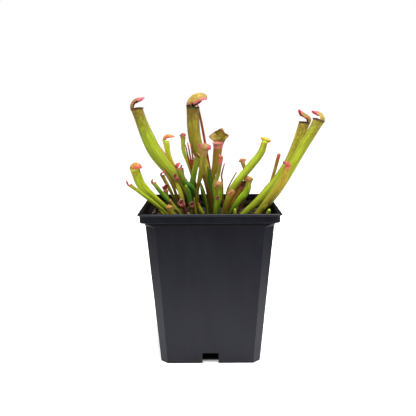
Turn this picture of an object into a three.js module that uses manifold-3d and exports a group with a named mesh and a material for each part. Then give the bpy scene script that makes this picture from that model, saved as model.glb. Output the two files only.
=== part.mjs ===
// A potted pitcher plant: a square nursery pot with a tapered body, the potting mix in it,
// and a clump of tubular pitcher leaves, each one a piece of its own.
// Millimetres, +Z up. The origin is the middle of the pot's underside, where it stands.

import * as THREE from 'three';
import { mergeVertices } from 'three/addons/utils/BufferGeometryUtils.js';
import Module from 'manifold-3d';

const wasm = await Module();
wasm.setup();

// ---- Driving dimensions ---------------------------------------------------------------

// Pot
const POT_HEIGHT = 103;
const FLANGE_WIDTH = 90.6;
const FLANGE_THICK = 1.2;
const FLANGE_CORNER = 2.5;
const FLANGE_SLANT = 0.2;
const BAND_WIDTH = 88.6;
const BAND_HEIGHT = 6;
const BAND_CORNER = 4.5;
const BODY_TOP_WIDTH = 83;
const BODY_BASE_WIDTH = 66.5;
const CHAMFER_UNDER_BAND = 1.5;
const CHAMFER_RUN = 3.2;
const CHAMFER_TOP = 6.8;
const CHAMFER_BASE = 4.7;
const POT_WALL = 1.2;
const BAND_WALL = 1.6;
const STEP_RISE = 0.8;
const STEP_DROP = 0.6;
const FLOOR_UNDERSIDE = 0.9;
const FLOOR_THICK = 1.4;
const FOOT_RIM = 2.6;
const CENTRE_PAD_RADIUS = 7;
const DRAIN_HOLE_RADIUS = 4;
const DRAIN_HOLE_OFFSET = 16;
const WINDOW_WIDTH = 10.7;
const WINDOW_HEIGHT = 7.4;
const WINDOW_DEPTH = 3.6;

// Potting mix
const MIX_TOP = 94;
const MIX_CLEARANCE = 0.3;
const MIX_ROUGHNESS = 1.1;
const MIX_RINGS = 7;
const MIX_EDGE_DROP = 2.5;
const WINDOW_POCKET = { width: 14, height: 7, depth: 9 };

// Leaves
const ROOT_DEPTH = 4;
const SOIL_HOLE_GAP = 0.4;
const LIP_RISE = 0.5;
const LIP_FLARE = 1.13;
const MOUTH_SLOPE = 0.3;
const HOOD_HALF_DEGREES = 60;
const HOLE_SHARE = 0.65;
const LEAST_THICKNESS = 0.6;
const HOOD_SET = 0.625;
const RUFFLE_OFFSET = 1.7;
const WING_END = 0.9;
const LEAST_THROAT = 0.2;
const LEAF_ROUGHNESS = 0.5;

const CORNER_STEPS = 3;
const DISC_SIDES = 24;
// A cut corner of 45 degrees moved inward by its inset grows shorter by this share of it.
const INSET_CORNER = 2 - Math.SQRT2;
const LEAST_CORNER = 0.8;
const RANDOM_SEED = 20;

// ---- Closed meshes and solids ---------------------------------------------------------

// Collects the corners and triangles of one closed surface.
class Surface {
  constructor() {
    this.corners = [];
    this.triangles = [];
  }

  ring(points) {
    return points.map((point) => this.corners.push(point.x, point.y, point.z) / 3 - 1);
  }

  quad(a, b, c, d) {
    this.triangles.push(a, b, c, a, c, d);
  }

  // Joins two rings of like corners, from column "first" over "count" columns.
  band(low, high, first = 0, count = low.length) {
    for (let k = first; k < first + count; k += 1) {
      const here = k % low.length;
      const next = (k + 1) % low.length;
      this.quad(low[here], low[next], high[next], high[here]);
    }
  }

  // Closes a ring with a fan round its middle; "up" tells which way the cap faces.
  cap(ring, middle, up) {
    const [centre] = this.ring([middle]);
    ring.forEach((corner, k) => {
      const next = ring[(k + 1) % ring.length];
      this.triangles.push(centre, up ? corner : next, up ? next : corner);
    });
  }

  geometry() {
    const geometry = new THREE.BufferGeometry();
    geometry.setAttribute('position', new THREE.Float32BufferAttribute(this.corners, 3));
    geometry.setIndex(this.triangles);
    return geometry;
  }
}

function toSolid(geometry) {
  const bare = geometry.clone();
  bare.deleteAttribute('normal');
  bare.deleteAttribute('uv');
  const merged = mergeVertices(bare, 1e-4);
  return new wasm.Manifold(new wasm.Mesh({
    numProp: 3,
    vertProperties: new Float32Array(merged.attributes.position.array),
    triVerts: new Uint32Array(merged.index.array),
  }));
}

function toGeometry(solid) {
  const mesh = solid.getMesh();
  const geometry = new THREE.BufferGeometry();
  geometry.setAttribute('position', new THREE.BufferAttribute(mesh.vertProperties, 3));
  geometry.setIndex(new THREE.BufferAttribute(mesh.triVerts, 1));
  return geometry;
}

function discSolid(radius, low, high, x, y) {
  const disc = new THREE.CylinderGeometry(radius, radius, high - low, DISC_SIDES);
  return toSolid(disc.rotateX(Math.PI / 2).translate(x, y, (low + high) / 2));
}

function makeMesh(name, geometry, colour, roughness) {
  const flat = geometry.index ? geometry.toNonIndexed() : geometry;
  flat.computeVertexNormals();
  const material = new THREE.MeshStandardMaterial({ color: colour, roughness, metalness: 0 });
  const mesh = new THREE.Mesh(flat, material);
  mesh.name = name;
  return mesh;
}

// A repeatable stream of numbers from 0 to 1.
function randomStream(seed) {
  let state = seed;
  return () => {
    state = (state * 16807) % 2147483647;
    return state / 2147483647;
  };
}

// ---- The pot --------------------------------------------------------------------------

const BAND_BASE = POT_HEIGHT - BAND_HEIGHT;
const FLOOR_TOP = FLOOR_UNDERSIDE + FLOOR_THICK;

function bodyHalf(z) {
  return THREE.MathUtils.lerp(BODY_BASE_WIDTH, BODY_TOP_WIDTH, z / BAND_BASE) / 2;
}

function bodyChamfer(z) {
  const top = BAND_BASE - CHAMFER_RUN;
  if (z <= top) return THREE.MathUtils.lerp(CHAMFER_BASE, CHAMFER_TOP, z / top);
  return THREE.MathUtils.lerp(CHAMFER_TOP, CHAMFER_UNDER_BAND, (z - top) / CHAMFER_RUN);
}

// A square outline whose corners are cut straight, or rounded when "rounded" is set.
function squareOutline(half, corner, z, rounded) {
  const points = [];
  for (let side = 0; side < 4; side += 1) {
    for (let step = 0; step <= CORNER_STEPS; step += 1) {
      const share = step / CORNER_STEPS;
      const angle = share * Math.PI / 2;
      const x = half - corner + corner * (rounded ? Math.cos(angle) : 1 - share);
      const y = half - corner + corner * (rounded ? Math.sin(angle) : share);
      const point = new THREE.Vector3(x, y, z);
      points.push(point.applyAxisAngle(new THREE.Vector3(0, 0, 1), side * Math.PI / 2));
    }
  }
  return points;
}

function bodyOutline(z, inset) {
  const corner = Math.max(bodyChamfer(z) - inset * INSET_CORNER, LEAST_CORNER);
  return squareOutline(bodyHalf(z) - inset, corner, z, false);
}

function makePot() {
  const pot = new Surface();
  const chamferTop = BAND_BASE - CHAMFER_RUN;
  const flangeBase = POT_HEIGHT - FLANGE_THICK;
  const flangeHalf = FLANGE_WIDTH / 2;
  const bandHalf = BAND_WIDTH / 2;
  const outlines = [
    bodyOutline(0, 0),
    bodyOutline(chamferTop, 0),
    bodyOutline(BAND_BASE, 0),
    squareOutline(bandHalf, BAND_CORNER, BAND_BASE, true),
    squareOutline(bandHalf, BAND_CORNER, flangeBase, true),
    squareOutline(flangeHalf, FLANGE_CORNER, flangeBase + FLANGE_SLANT, true),
    squareOutline(flangeHalf, FLANGE_CORNER, POT_HEIGHT, true),
    squareOutline(bandHalf - BAND_WALL, BAND_CORNER - BAND_WALL, POT_HEIGHT, true),
    squareOutline(bandHalf - BAND_WALL, BAND_CORNER - BAND_WALL, BAND_BASE + STEP_RISE, true),
    bodyOutline(BAND_BASE - STEP_DROP, POT_WALL),
    bodyOutline(chamferTop, POT_WALL),
    bodyOutline(FLOOR_TOP, POT_WALL),
  ];
  const rings = outlines.map((outline) => pot.ring(outline));
  for (let k = 1; k < rings.length; k += 1) pot.band(rings[k - 1], rings[k]);
  pot.cap(rings[0], new THREE.Vector3(0, 0, 0), false);
  pot.cap(rings[rings.length - 1], new THREE.Vector3(0, 0, FLOOR_TOP), true);

  let solid = toSolid(pot.geometry());
  solid = solid.subtract(makeBaseRecess());
  for (let side = 0; side < 4; side += 1) {
    solid = solid.subtract(windowCut(WINDOW_WIDTH, WINDOW_DEPTH, -1, WINDOW_HEIGHT, side));
  }
  for (const x of [-DRAIN_HOLE_OFFSET, DRAIN_HOLE_OFFSET]) {
    for (const y of [-DRAIN_HOLE_OFFSET, DRAIN_HOLE_OFFSET]) {
      solid = solid.subtract(discSolid(DRAIN_HOLE_RADIUS, -1, FLOOR_TOP + 1, x, y));
    }
  }
  return makeMesh('pot', toGeometry(solid), 0x2c2d31, 0.45);
}

// The shallow hollow under the floor, between the foot rim and the pad in the middle.
function makeBaseRecess() {
  const half = BODY_BASE_WIDTH / 2 - FOOT_RIM;
  const recess = new Surface();
  const low = recess.ring(squareOutline(half, CHAMFER_BASE, -1, false));
  const high = recess.ring(squareOutline(half, CHAMFER_BASE, FLOOR_UNDERSIDE, false));
  recess.band(low, high);
  recess.cap(low, new THREE.Vector3(0, 0, -1), false);
  recess.cap(high, new THREE.Vector3(0, 0, FLOOR_UNDERSIDE), true);
  const pad = discSolid(CENTRE_PAD_RADIUS, -2, FLOOR_UNDERSIDE + 1, 0, 0);
  return toSolid(recess.geometry()).subtract(pad);
}

// A block that reaches in from the middle of one side's lower edge, from "low" up to "high".
function windowCut(width, depth, low, high, side) {
  const outer = bodyHalf(0) + POT_WALL * 2;
  const inner = bodyHalf(0) - depth;
  const block = new THREE.BoxGeometry(outer - inner, width, high - low);
  block.translate((outer + inner) / 2, 0, (low + high) / 2);
  return toSolid(block.rotateZ(side * Math.PI / 2));
}

// ---- The potting mix ------------------------------------------------------------------

function makePottingMix(holes) {
  const random = randomStream(RANDOM_SEED);
  const inset = POT_WALL + MIX_CLEARANCE;
  const mix = new Surface();
  const base = FLOOR_TOP + MIX_CLEARANCE;
  const rings = [base, MIX_TOP - MIX_EDGE_DROP].map((z) => mix.ring(bodyOutline(z, inset)));
  const edge = bodyOutline(MIX_TOP - MIX_EDGE_DROP, inset);
  for (let k = 1; k < MIX_RINGS; k += 1) {
    const share = 1 - (k - 0.6) / MIX_RINGS;
    const bumps = edge.map(() => MIX_TOP + MIX_ROUGHNESS * (random() - 0.6));
    rings.push(mix.ring(edge.map((at, i) => new THREE.Vector3(at.x * share, at.y * share, bumps[i]))));
  }
  for (let k = 1; k < rings.length; k += 1) mix.band(rings[k - 1], rings[k]);
  mix.cap(rings[0], new THREE.Vector3(0, 0, base), false);
  mix.cap(rings[rings.length - 1], new THREE.Vector3(0, 0, MIX_TOP), true);

  let solid = toSolid(mix.geometry());
  const { width, depth, height } = WINDOW_POCKET;
  for (let side = 0; side < 4; side += 1) {
    solid = solid.subtract(windowCut(width, depth, 0, base + height, side));
  }
  for (const hole of holes) solid = solid.subtract(hole);
  return makeMesh('potting_mix', toGeometry(solid), 0x231c18, 0.95);
}

// ---- Leaves ---------------------------------------------------------------------------

// How finely a leaf is drawn: the angles of its columns, counted from its face, its rings up
// the tube, across the hood and down the throat, and the thickness of its wall.
const GRADES = {
  large: {
    columns: [0, 13, 48, 84, 120, 150, 180, 210, 240, 276, 312, 347],
    rings: 8,
    hoodRows: 6,
    throat: 3,
    wall: 0.7,
  },
  medium: { columns: [0, 20, 68, 120, 180, 240, 292, 340], rings: 7, hoodRows: 5, throat: 2, wall: 0.65 },
  small: { columns: [0, 60, 120, 180, 240, 300], rings: 5, hoodRows: 4, throat: 1, wall: 0.6 },
};
const HOOD_HALF_ANGLE = THREE.MathUtils.degToRad(HOOD_HALF_DEGREES);

// A hood's length and half width, how far it arches, over what share of its length it does so,
// how far it tilts to one side and rolls down, where it is widest, how it narrows to its tip,
// and its waved edge.
const SMALL_HOOD = {
  length: 4,
  spread: 2.2,
  arch: 110,
  lean: 0,
  bend: 1,
  tilt: 0,
  roll: 0.8,
  widest: 0.55,
  taper: 0.86,
  blunt: 2,
  ruffle: 0.3,
  waves: 1.5,
};

function evenShares(count) {
  return Array.from({ length: count + 1 }, (_, k) => k / count);
}

// A smooth curve through the stations [x, y, height over the mix, width] of a leaf.
function along(stations, share) {
  const last = stations.length - 1;
  const place = share * last;
  const k = THREE.MathUtils.clamp(Math.floor(place), 0, last - 1);
  const t = place - k;
  const b = stations[k];
  const c = stations[k + 1];
  const a = k > 0 ? stations[k - 1] : b.map((value, i) => 2 * value - c[i]);
  const d = k + 2 <= last ? stations[k + 2] : c.map((value, i) => 2 * value - b[i]);
  return b.map((value, i) => {
    const slope = c[i] - a[i];
    const bend = 2 * a[i] - 5 * value + 4 * c[i] - d[i];
    const twist = 3 * (value - c[i]) + d[i] - a[i];
    return value + 0.5 * t * (slope + t * (bend + t * twist));
  });
}

// The middle, radius and directions of a leaf at a share of its length.
function frameAt(leaf, share) {
  const step = 0.01;
  const place = along(leaf.path, share);
  const before = new THREE.Vector3(...along(leaf.path, share - step));
  const up = new THREE.Vector3(...along(leaf.path, share + step)).sub(before).normalize();
  const azimuth = THREE.MathUtils.degToRad(leaf.faces);
  const face = new THREE.Vector3(Math.cos(azimuth), Math.sin(azimuth), 0);
  face.addScaledVector(up, -face.dot(up)).normalize();
  const side = new THREE.Vector3().crossVectors(up, face);
  const middle = new THREE.Vector3(place[0], place[1], place[2] + MIX_TOP);
  const radius = place[3] / 2;
  const thin = Math.max(leaf.thin ?? 1, Math.min(1, LEAST_THICKNESS / 2 / radius));
  return { middle, up, face, side, radius, thin };
}

// One ring of a tube. "wing" pulls out the column on the face, and "slope" lifts the back.
function tubeRing(frame, columns, radius, wing = 0, slope = 0) {
  return columns.map((degrees) => {
    const angle = THREE.MathUtils.degToRad(degrees);
    const reach = degrees === 0 ? radius * (1 + wing) : radius;
    return frame.middle.clone()
      .addScaledVector(frame.face, reach * Math.cos(angle) * frame.thin)
      .addScaledVector(frame.side, reach * Math.sin(angle))
      .addScaledVector(frame.up, -slope * radius * Math.cos(angle));
  });
}

function wingAt(leaf, share) {
  return (leaf.wing ?? 0) * Math.sin(Math.PI * Math.min(share / WING_END, 1));
}

function footMiddle(leaf, grow = 0) {
  const foot = frameAt(leaf, 0);
  return foot.middle.addScaledVector(foot.up, -ROOT_DEPTH - grow);
}

// The rings of a leaf's outside from its foot in the mix upward; "grow" fattens them all.
function outerRings(leaf, columns, shares, grow = 0) {
  const foot = frameAt(leaf, 0);
  const buried = { ...foot, middle: footMiddle(leaf, grow) };
  const rings = [tubeRing(buried, columns, foot.radius + grow)];
  for (const share of shares) {
    const frame = frameAt(leaf, share);
    rings.push(tubeRing(frame, columns, frame.radius + grow, wingAt(leaf, share)));
  }
  return rings;
}

// One row across a hood: the back of the tube carried on as a blade that arches forward.
function hoodRow(leaf, lip, radius, columns, share) {
  const hood = { ...SMALL_HOOD, ...leaf.hood };
  const arch = THREE.MathUtils.degToRad(hood.arch);
  const lean = THREE.MathUtils.degToRad(hood.lean);
  const bent = Math.min(share, hood.bend);
  const turn = lean + arch * bent / hood.bend;
  const heading = lip.up.clone().multiplyScalar(Math.cos(turn)).addScaledVector(lip.face, Math.sin(turn));
  const inward = lip.up.clone().multiplyScalar(-Math.sin(turn)).addScaledVector(lip.face, Math.cos(turn));
  const curved = hood.length * hood.bend / arch;
  const plain = hood.length * (share - bent);
  const rise = curved * (Math.sin(turn) - Math.sin(lean)) + plain * Math.cos(turn);
  const ahead = curved * (Math.cos(lean) - Math.cos(turn)) + plain * Math.sin(turn);
  const spine = lip.middle.clone()
    .addScaledVector(lip.face, ahead - radius)
    .addScaledVector(lip.up, rise + MOUTH_SLOPE * radius);

  const rootHalf = radius * HOOD_HALF_ANGLE;
  const widen = Math.sin(Math.min(1, share / hood.widest) * Math.PI / 2);
  const past = Math.max(0, (share - hood.widest) / (1 - hood.widest));
  const half = (rootHalf + (hood.spread - rootHalf) * widen) * (1 - hood.taper * past ** hood.blunt);
  const blend = Math.min(1, share / HOOD_SET);
  const curl = (1 - blend) / radius + blend * hood.roll / hood.spread;
  const tilt = THREE.MathUtils.degToRad(hood.tilt) * blend;

  const outer = [];
  const inner = [];
  for (const degrees of columns) {
    const across = (degrees - 180) / HOOD_HALF_DEGREES;
    const angle = across * half * curl;
    const straight = Math.abs(angle) < 1e-4;
    const level = straight ? across * half : Math.sin(angle) / curl;
    const sag = straight ? 0 : (1 - Math.cos(angle)) / curl;
    const reach = level * Math.cos(tilt) - sag * Math.sin(tilt);
    const dip = level * Math.sin(tilt) + sag * Math.cos(tilt);
    const phase = 2 * Math.PI * hood.waves * share + (across > 0 ? 0 : RUFFLE_OFFSET);
    const wave = hood.ruffle * across ** 2 * share * Math.sin(phase);
    const drop = MOUTH_SLOPE * radius * (Math.cos(across * HOOD_HALF_ANGLE) - 1) * (1 - share);
    const point = spine.clone()
      .addScaledVector(lip.side, -reach)
      .addScaledVector(inward, dip + wave)
      .addScaledVector(heading, drop);
    const wall = GRADES[leaf.grade].wall;
    outer.push(point);
    inner.push(point.clone()
      .addScaledVector(inward, wall * Math.cos(angle + tilt))
      .addScaledVector(lip.side, wall * Math.sin(angle + tilt)));
  }
  return { outer, inner };
}

// A pitcher: a closed skin of one wall's thickness, open at the mouth, with its hood.
function pitcherGeometry(leaf) {
  const { columns, rings, throat, wall } = GRADES[leaf.grade];
  const surface = new Surface();
  const outer = outerRings(leaf, columns, evenShares(rings)).map((ring) => surface.ring(ring));

  const top = frameAt(leaf, 1);
  const lip = { ...top, middle: top.middle.clone().addScaledVector(top.up, LIP_RISE) };
  const lipRadius = top.radius * (leaf.flare ?? LIP_FLARE);
  const lipOuter = surface.ring(tubeRing(lip, columns, lipRadius, 0, MOUTH_SLOPE));
  outer.push(lipOuter);
  for (let k = 1; k < outer.length; k += 1) surface.band(outer[k - 1], outer[k]);
  surface.cap(outer[0], footMiddle(leaf), false);

  const lipInner = surface.ring(tubeRing(lip, columns, lipRadius - wall, 0, MOUTH_SLOPE));
  let above = lipInner;
  for (let k = 0; k <= throat; k += 1) {
    const frame = frameAt(leaf, 1 - k / rings);
    const below = surface.ring(tubeRing(frame, columns, Math.max(frame.radius - wall, LEAST_THROAT)));
    surface.band(above, below);
    above = below;
  }
  surface.cap(above, frameAt(leaf, 1 - throat / rings).middle, true);

  addHood(surface, leaf, lip, lipRadius, lipOuter, lipInner);
  return surface.geometry();
}

// Closes the front of the rim and carries the back of it on as the hood.
function addHood(surface, leaf, lip, lipRadius, lipOuter, lipInner) {
  const { columns, hoodRows } = GRADES[leaf.grade];
  const first = columns.indexOf(180 - HOOD_HALF_DEGREES);
  const last = columns.indexOf(180 + HOOD_HALF_DEGREES);
  surface.band(lipOuter, lipInner, last, columns.length - (last - first));

  const across = columns.slice(first, last + 1);
  let outer = lipOuter.slice(first, last + 1);
  let inner = lipInner.slice(first, last + 1);
  for (let k = 1; k <= hoodRows; k += 1) {
    const row = hoodRow(leaf, lip, lipRadius, across, k / hoodRows);
    const nextOuter = surface.ring(row.outer);
    const nextInner = surface.ring(row.inner);
    surface.band(outer, nextOuter, 0, across.length - 1);
    surface.band(nextInner, inner, 0, across.length - 1);
    const end = across.length - 1;
    surface.quad(outer[0], nextOuter[0], nextInner[0], inner[0]);
    surface.quad(inner[end], nextInner[end], nextOuter[end], outer[end]);
    outer = nextOuter;
    inner = nextInner;
  }
  surface.band(outer, inner, 0, across.length - 1);
}

// A young pitcher that hasn't opened, or a flat strap: a tube closed to a point.
function closedGeometry(leaf) {
  const { columns, rings } = GRADES.small;
  const surface = new Surface();
  const outer = outerRings(leaf, columns, evenShares(rings)).map((ring) => surface.ring(ring));
  for (let k = 1; k < outer.length; k += 1) surface.band(outer[k - 1], outer[k]);
  surface.cap(outer[0], footMiddle(leaf), false);
  const top = frameAt(leaf, 1);
  surface.cap(outer[outer.length - 1], top.middle.addScaledVector(top.up, top.radius), true);
  return surface.geometry();
}

// The plain hole that a leaf stands in: its own tube, fattened by the gap all round.
function soilHole(blade) {
  const leaf = { ...blade, thin: 1 };
  const { columns, rings } = GRADES[leaf.grade ?? 'small'];
  const shares = evenShares(rings).filter((share) => share < HOLE_SHARE);
  const surface = new Surface();
  const outlines = outerRings(leaf, columns, shares, SOIL_HOLE_GAP);
  const outer = outlines.map((ring) => surface.ring(ring));
  for (let k = 1; k < outer.length; k += 1) surface.band(outer[k - 1], outer[k]);
  surface.cap(outer[0], footMiddle(leaf, SOIL_HOLE_GAP), false);
  surface.cap(outer[outer.length - 1], frameAt(leaf, shares[shares.length - 1]).middle, true);
  return toSolid(surface.geometry());
}

// ---- The clump ------------------------------------------------------------------------

// Each leaf gives its stations from foot to mouth or tip, the way its mouth faces in degrees
// from +X towards +Y, and what its hood and front wing look like.
const LARGE_PITCHERS = [
  {
    name: 'pitcher_left_tall',
    path: [[-9.5, 7, 0, 3.5], [-24.5, 9, 25.5, 7.2], [-40, 11, 46.5, 8.6], [-50.5, 14, 73.5, 7.6]],
    faces: 0,
    wing: 0.35,
    hood: {
      length: 15,
      spread: 4.2,
      arch: 95,
      lean: 10,
      bend: 0.75,
      roll: 1.1,
      widest: 0.3,
      taper: 0.5,
      blunt: 6,
      ruffle: 0.35,
    },
    colour: 0x8dac38,
  },
  {
    name: 'pitcher_centre_tall',
    path: [[2, 6, 0, 3.5], [-1, 8, 24, 6.5], [-10, 12, 53, 8.8], [-11.5, 15, 74.5, 8.6]],
    faces: -50,
    flare: 1.05,
    hood: {
      length: 20.5,
      spread: 9.5,
      arch: 150,
      bend: 0.9,
      tilt: 34,
      roll: 1.3,
      widest: 0.4,
      taper: 0.5,
      blunt: 3,
      ruffle: 1,
      waves: 2.2,
    },
    colour: 0x8f8f34,
  },
  {
    name: 'pitcher_right_centre',
    path: [[4, 14, 0, 2.5], [2.5, 15, 23.5, 3], [5, 17, 37, 5.6], [6.5, 19, 49, 6.8]],
    faces: -115,
    flare: 1.2,
    hood: {
      length: 10,
      spread: 9.4,
      arch: 35,
      tilt: -8,
      roll: 0.55,
      widest: 0.38,
      taper: 0.93,
      blunt: 1.4,
      ruffle: 1.5,
      waves: 2.5,
    },
    colour: 0x84703a,
  },
  {
    name: 'pitcher_left_fat',
    path: [[-22.5, -5, 0, 3], [-37, -7, 13, 4.2], [-46, -9, 22.5, 5.8], [-50, -10, 33.5, 6.4]],
    faces: 10,
    wing: 0.2,
    flare: 1.02,
    hood: {
      length: 13,
      spread: 6.2,
      arch: 175,
      lean: 15,
      roll: 1.6,
      widest: 0.3,
      taper: 0.4,
      blunt: 4,
      ruffle: 0.2,
    },
    colour: 0xa6b23f,
  },
  {
    name: 'pitcher_right_yellow',
    path: [[9, -3, 0, 3], [15, -1.5, 18, 4.4], [27.5, 4, 33, 5.4], [35.5, 7, 42.5, 5], [38.5, 8, 50, 4.2]],
    faces: 95,
    wing: 0.25,
    flare: 1,
    hood: {
      length: 7.5,
      spread: 4.2,
      arch: 140,
      roll: 0.4,
      widest: 0.45,
      taper: 0.95,
      blunt: 1,
      ruffle: 0.5,
    },
    colour: 0x9ab03a,
  },
  {
    name: 'pitcher_right_tall_back',
    path: [[23, 3, 0, 4], [38.5, 4, 14, 6], [55.5, 6, 35, 7.2], [66, 8, 63.5, 7.1]],
    faces: 180,
    wing: 0.15,
    flare: 1.05,
    hood: {
      length: 13.5,
      spread: 4.4,
      arch: 91,
      lean: -14,
      bend: 0.4,
      roll: 1.3,
      widest: 0.3,
      taper: 0.6,
      blunt: 5,
      ruffle: 0.5,
    },
    colour: 0x95a63a,
  },
  {
    name: 'pitcher_right_tall_front',
    path: [[31, -8, 0, 4.6], [46.5, -7, 20, 6.7], [61, -5, 44, 6.4], [73.5, -4, 65, 6.8]],
    faces: 155,
    wing: 0.15,
    hood: {
      length: 13.5,
      spread: 4.2,
      arch: 105,
      lean: 22,
      bend: 0.9,
      roll: 1.2,
      widest: 0.35,
      taper: 0.7,
      blunt: 3,
      ruffle: 0.6,
    },
    colour: 0x97ab3c,
  },
];

const MEDIUM_PITCHERS = [
  {
    name: 'pitcher_left_yellow',
    path: [[-11, 15, 0, 2], [-21, 17, 23.5, 2.8], [-28.5, 19, 39, 3.6], [-31, 20, 50.5, 4.4]],
    faces: 0,
    flare: 1.05,
    hood: {
      length: 11.5,
      spread: 3.6,
      arch: 110,
      lean: 10,
      bend: 0.75,
      roll: 1.3,
      widest: 0.3,
      taper: 0.5,
      blunt: 5,
    },
    colour: 0xb3ab3c,
  },
  {
    name: 'pitcher_front_centre',
    path: [[-9, -9, 0, 2.4], [-8, -12, 20, 2.2], [-5.5, -18, 32.5, 3.7], [-3.5, -23, 46.5, 4.4]],
    faces: 80,
    hood: { length: 7.5, spread: 4.8, arch: 115, roll: 0.8, ruffle: 0.8, waves: 2.2 },
    colour: 0x97843f,
  },
  {
    name: 'pitcher_left_green',
    path: [[-16.5, -11.5, 0, 2.2], [-25.5, -12.5, 10.5, 3], [-32.5, -13, 18.5, 3], [-37, -13, 24.5, 2.8]],
    faces: 20,
    colour: 0x4e7d2b,
  },
  {
    name: 'pitcher_dark_hook',
    path: [[-7, -4, 0, 2.4], [-11, -6, 18.5, 3.8], [-17, -6, 24.5, 4.4], [-21, -6, 33.5, 3.6]],
    faces: 10,
    flare: 1,
    hood: { length: 6.5, spread: 3.6, arch: 125, roll: 1.3, taper: 0.5 },
    colour: 0x3c6b26,
  },
  {
    name: 'pitcher_green_centre',
    path: [[-11.5, 0.5, 0, 2.4], [-13, -1, 16.5, 4.2], [-11, -1, 27.5, 4], [-8.5, -1, 40, 3.8]],
    faces: -160,
    hood: { length: 5, spread: 2.6, arch: 115, roll: 0.8 },
    colour: 0x6a9030,
  },
  {
    name: 'pitcher_pink_lipped',
    path: [[4.5, -8, 0, 2], [3, -7, 20.5, 2.4], [5.5, -5, 28, 2.8], [7.5, -4, 39, 3]],
    faces: 150,
    hood: { length: 5, spread: 2.4, arch: 100, roll: 0.6 },
    colour: 0x8f9a48,
  },
  {
    name: 'pitcher_right_front',
    path: [[3.3, -12, 0, 3], [5, -14, 10.5, 4.4], [6, -15, 16, 4.8], [6, -17, 22.5, 4.8]],
    faces: 110,
    hood: { length: 5, spread: 3.4, arch: 100, roll: 0.8, ruffle: 0.5 },
    colour: 0x7d9a3b,
  },
  {
    name: 'pitcher_banana',
    path: [[12.5, -7, 0, 2.6], [19.5, -9, 11.5, 4], [25, -10, 18.5, 4.6], [26.5, -11, 25, 3.6]],
    faces: 120,
    wing: 0.2,
    hood: { length: 5, spread: 3.4, arch: 110, roll: 0.9, ruffle: 0.4 },
    colour: 0x6fa030,
  },
  {
    name: 'pitcher_brown_crumpled',
    path: [[13, 3, 0, 2.4], [15.5, 3, 8.5, 3.4], [18.5, 3.5, 14.5, 4.6], [22, 4, 19, 5]],
    faces: -110,
    hood: { length: 6, spread: 4, arch: 70, roll: 0.6, ruffle: 1.1 },
    colour: 0x8c4f3c,
  },
  {
    name: 'pitcher_tan_right',
    path: [[9, -13, 0, 2.4], [10.5, -15, 8, 3], [12, -16, 13, 3.6], [14, -17, 17.5, 3.8]],
    faces: 130,
    hood: { length: 4.5, spread: 3, arch: 100, roll: 0.9, ruffle: 0.5 },
    colour: 0xa98c4b,
  },
  {
    name: 'pitcher_tan_right_front',
    path: [[27.5, -16, 0, 2.8], [39.5, -17.5, 13.5, 4.2], [48, -18, 25, 4.5], [51, -18, 35, 4.2]],
    faces: 175,
    flare: 1,
    hood: {
      length: 7.5,
      spread: 3.8,
      arch: 105,
      lean: 8,
      bend: 0.8,
      roll: 1.6,
      widest: 0.35,
      taper: 0.6,
      blunt: 4,
    },
    colour: 0xae9c43,
  },
  {
    name: 'pitcher_tan_front',
    path: [[-24, -24, 0, 3], [-25, -25, 4, 3.4], [-25, -26, 6.5, 3.8], [-25.5, -26, 8.5, 4.2]],
    faces: 60,
    hood: { length: 4.5, spread: 3.4, arch: 110, roll: 0.8, ruffle: 0.5 },
    colour: 0xb59558,
  },
];

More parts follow.
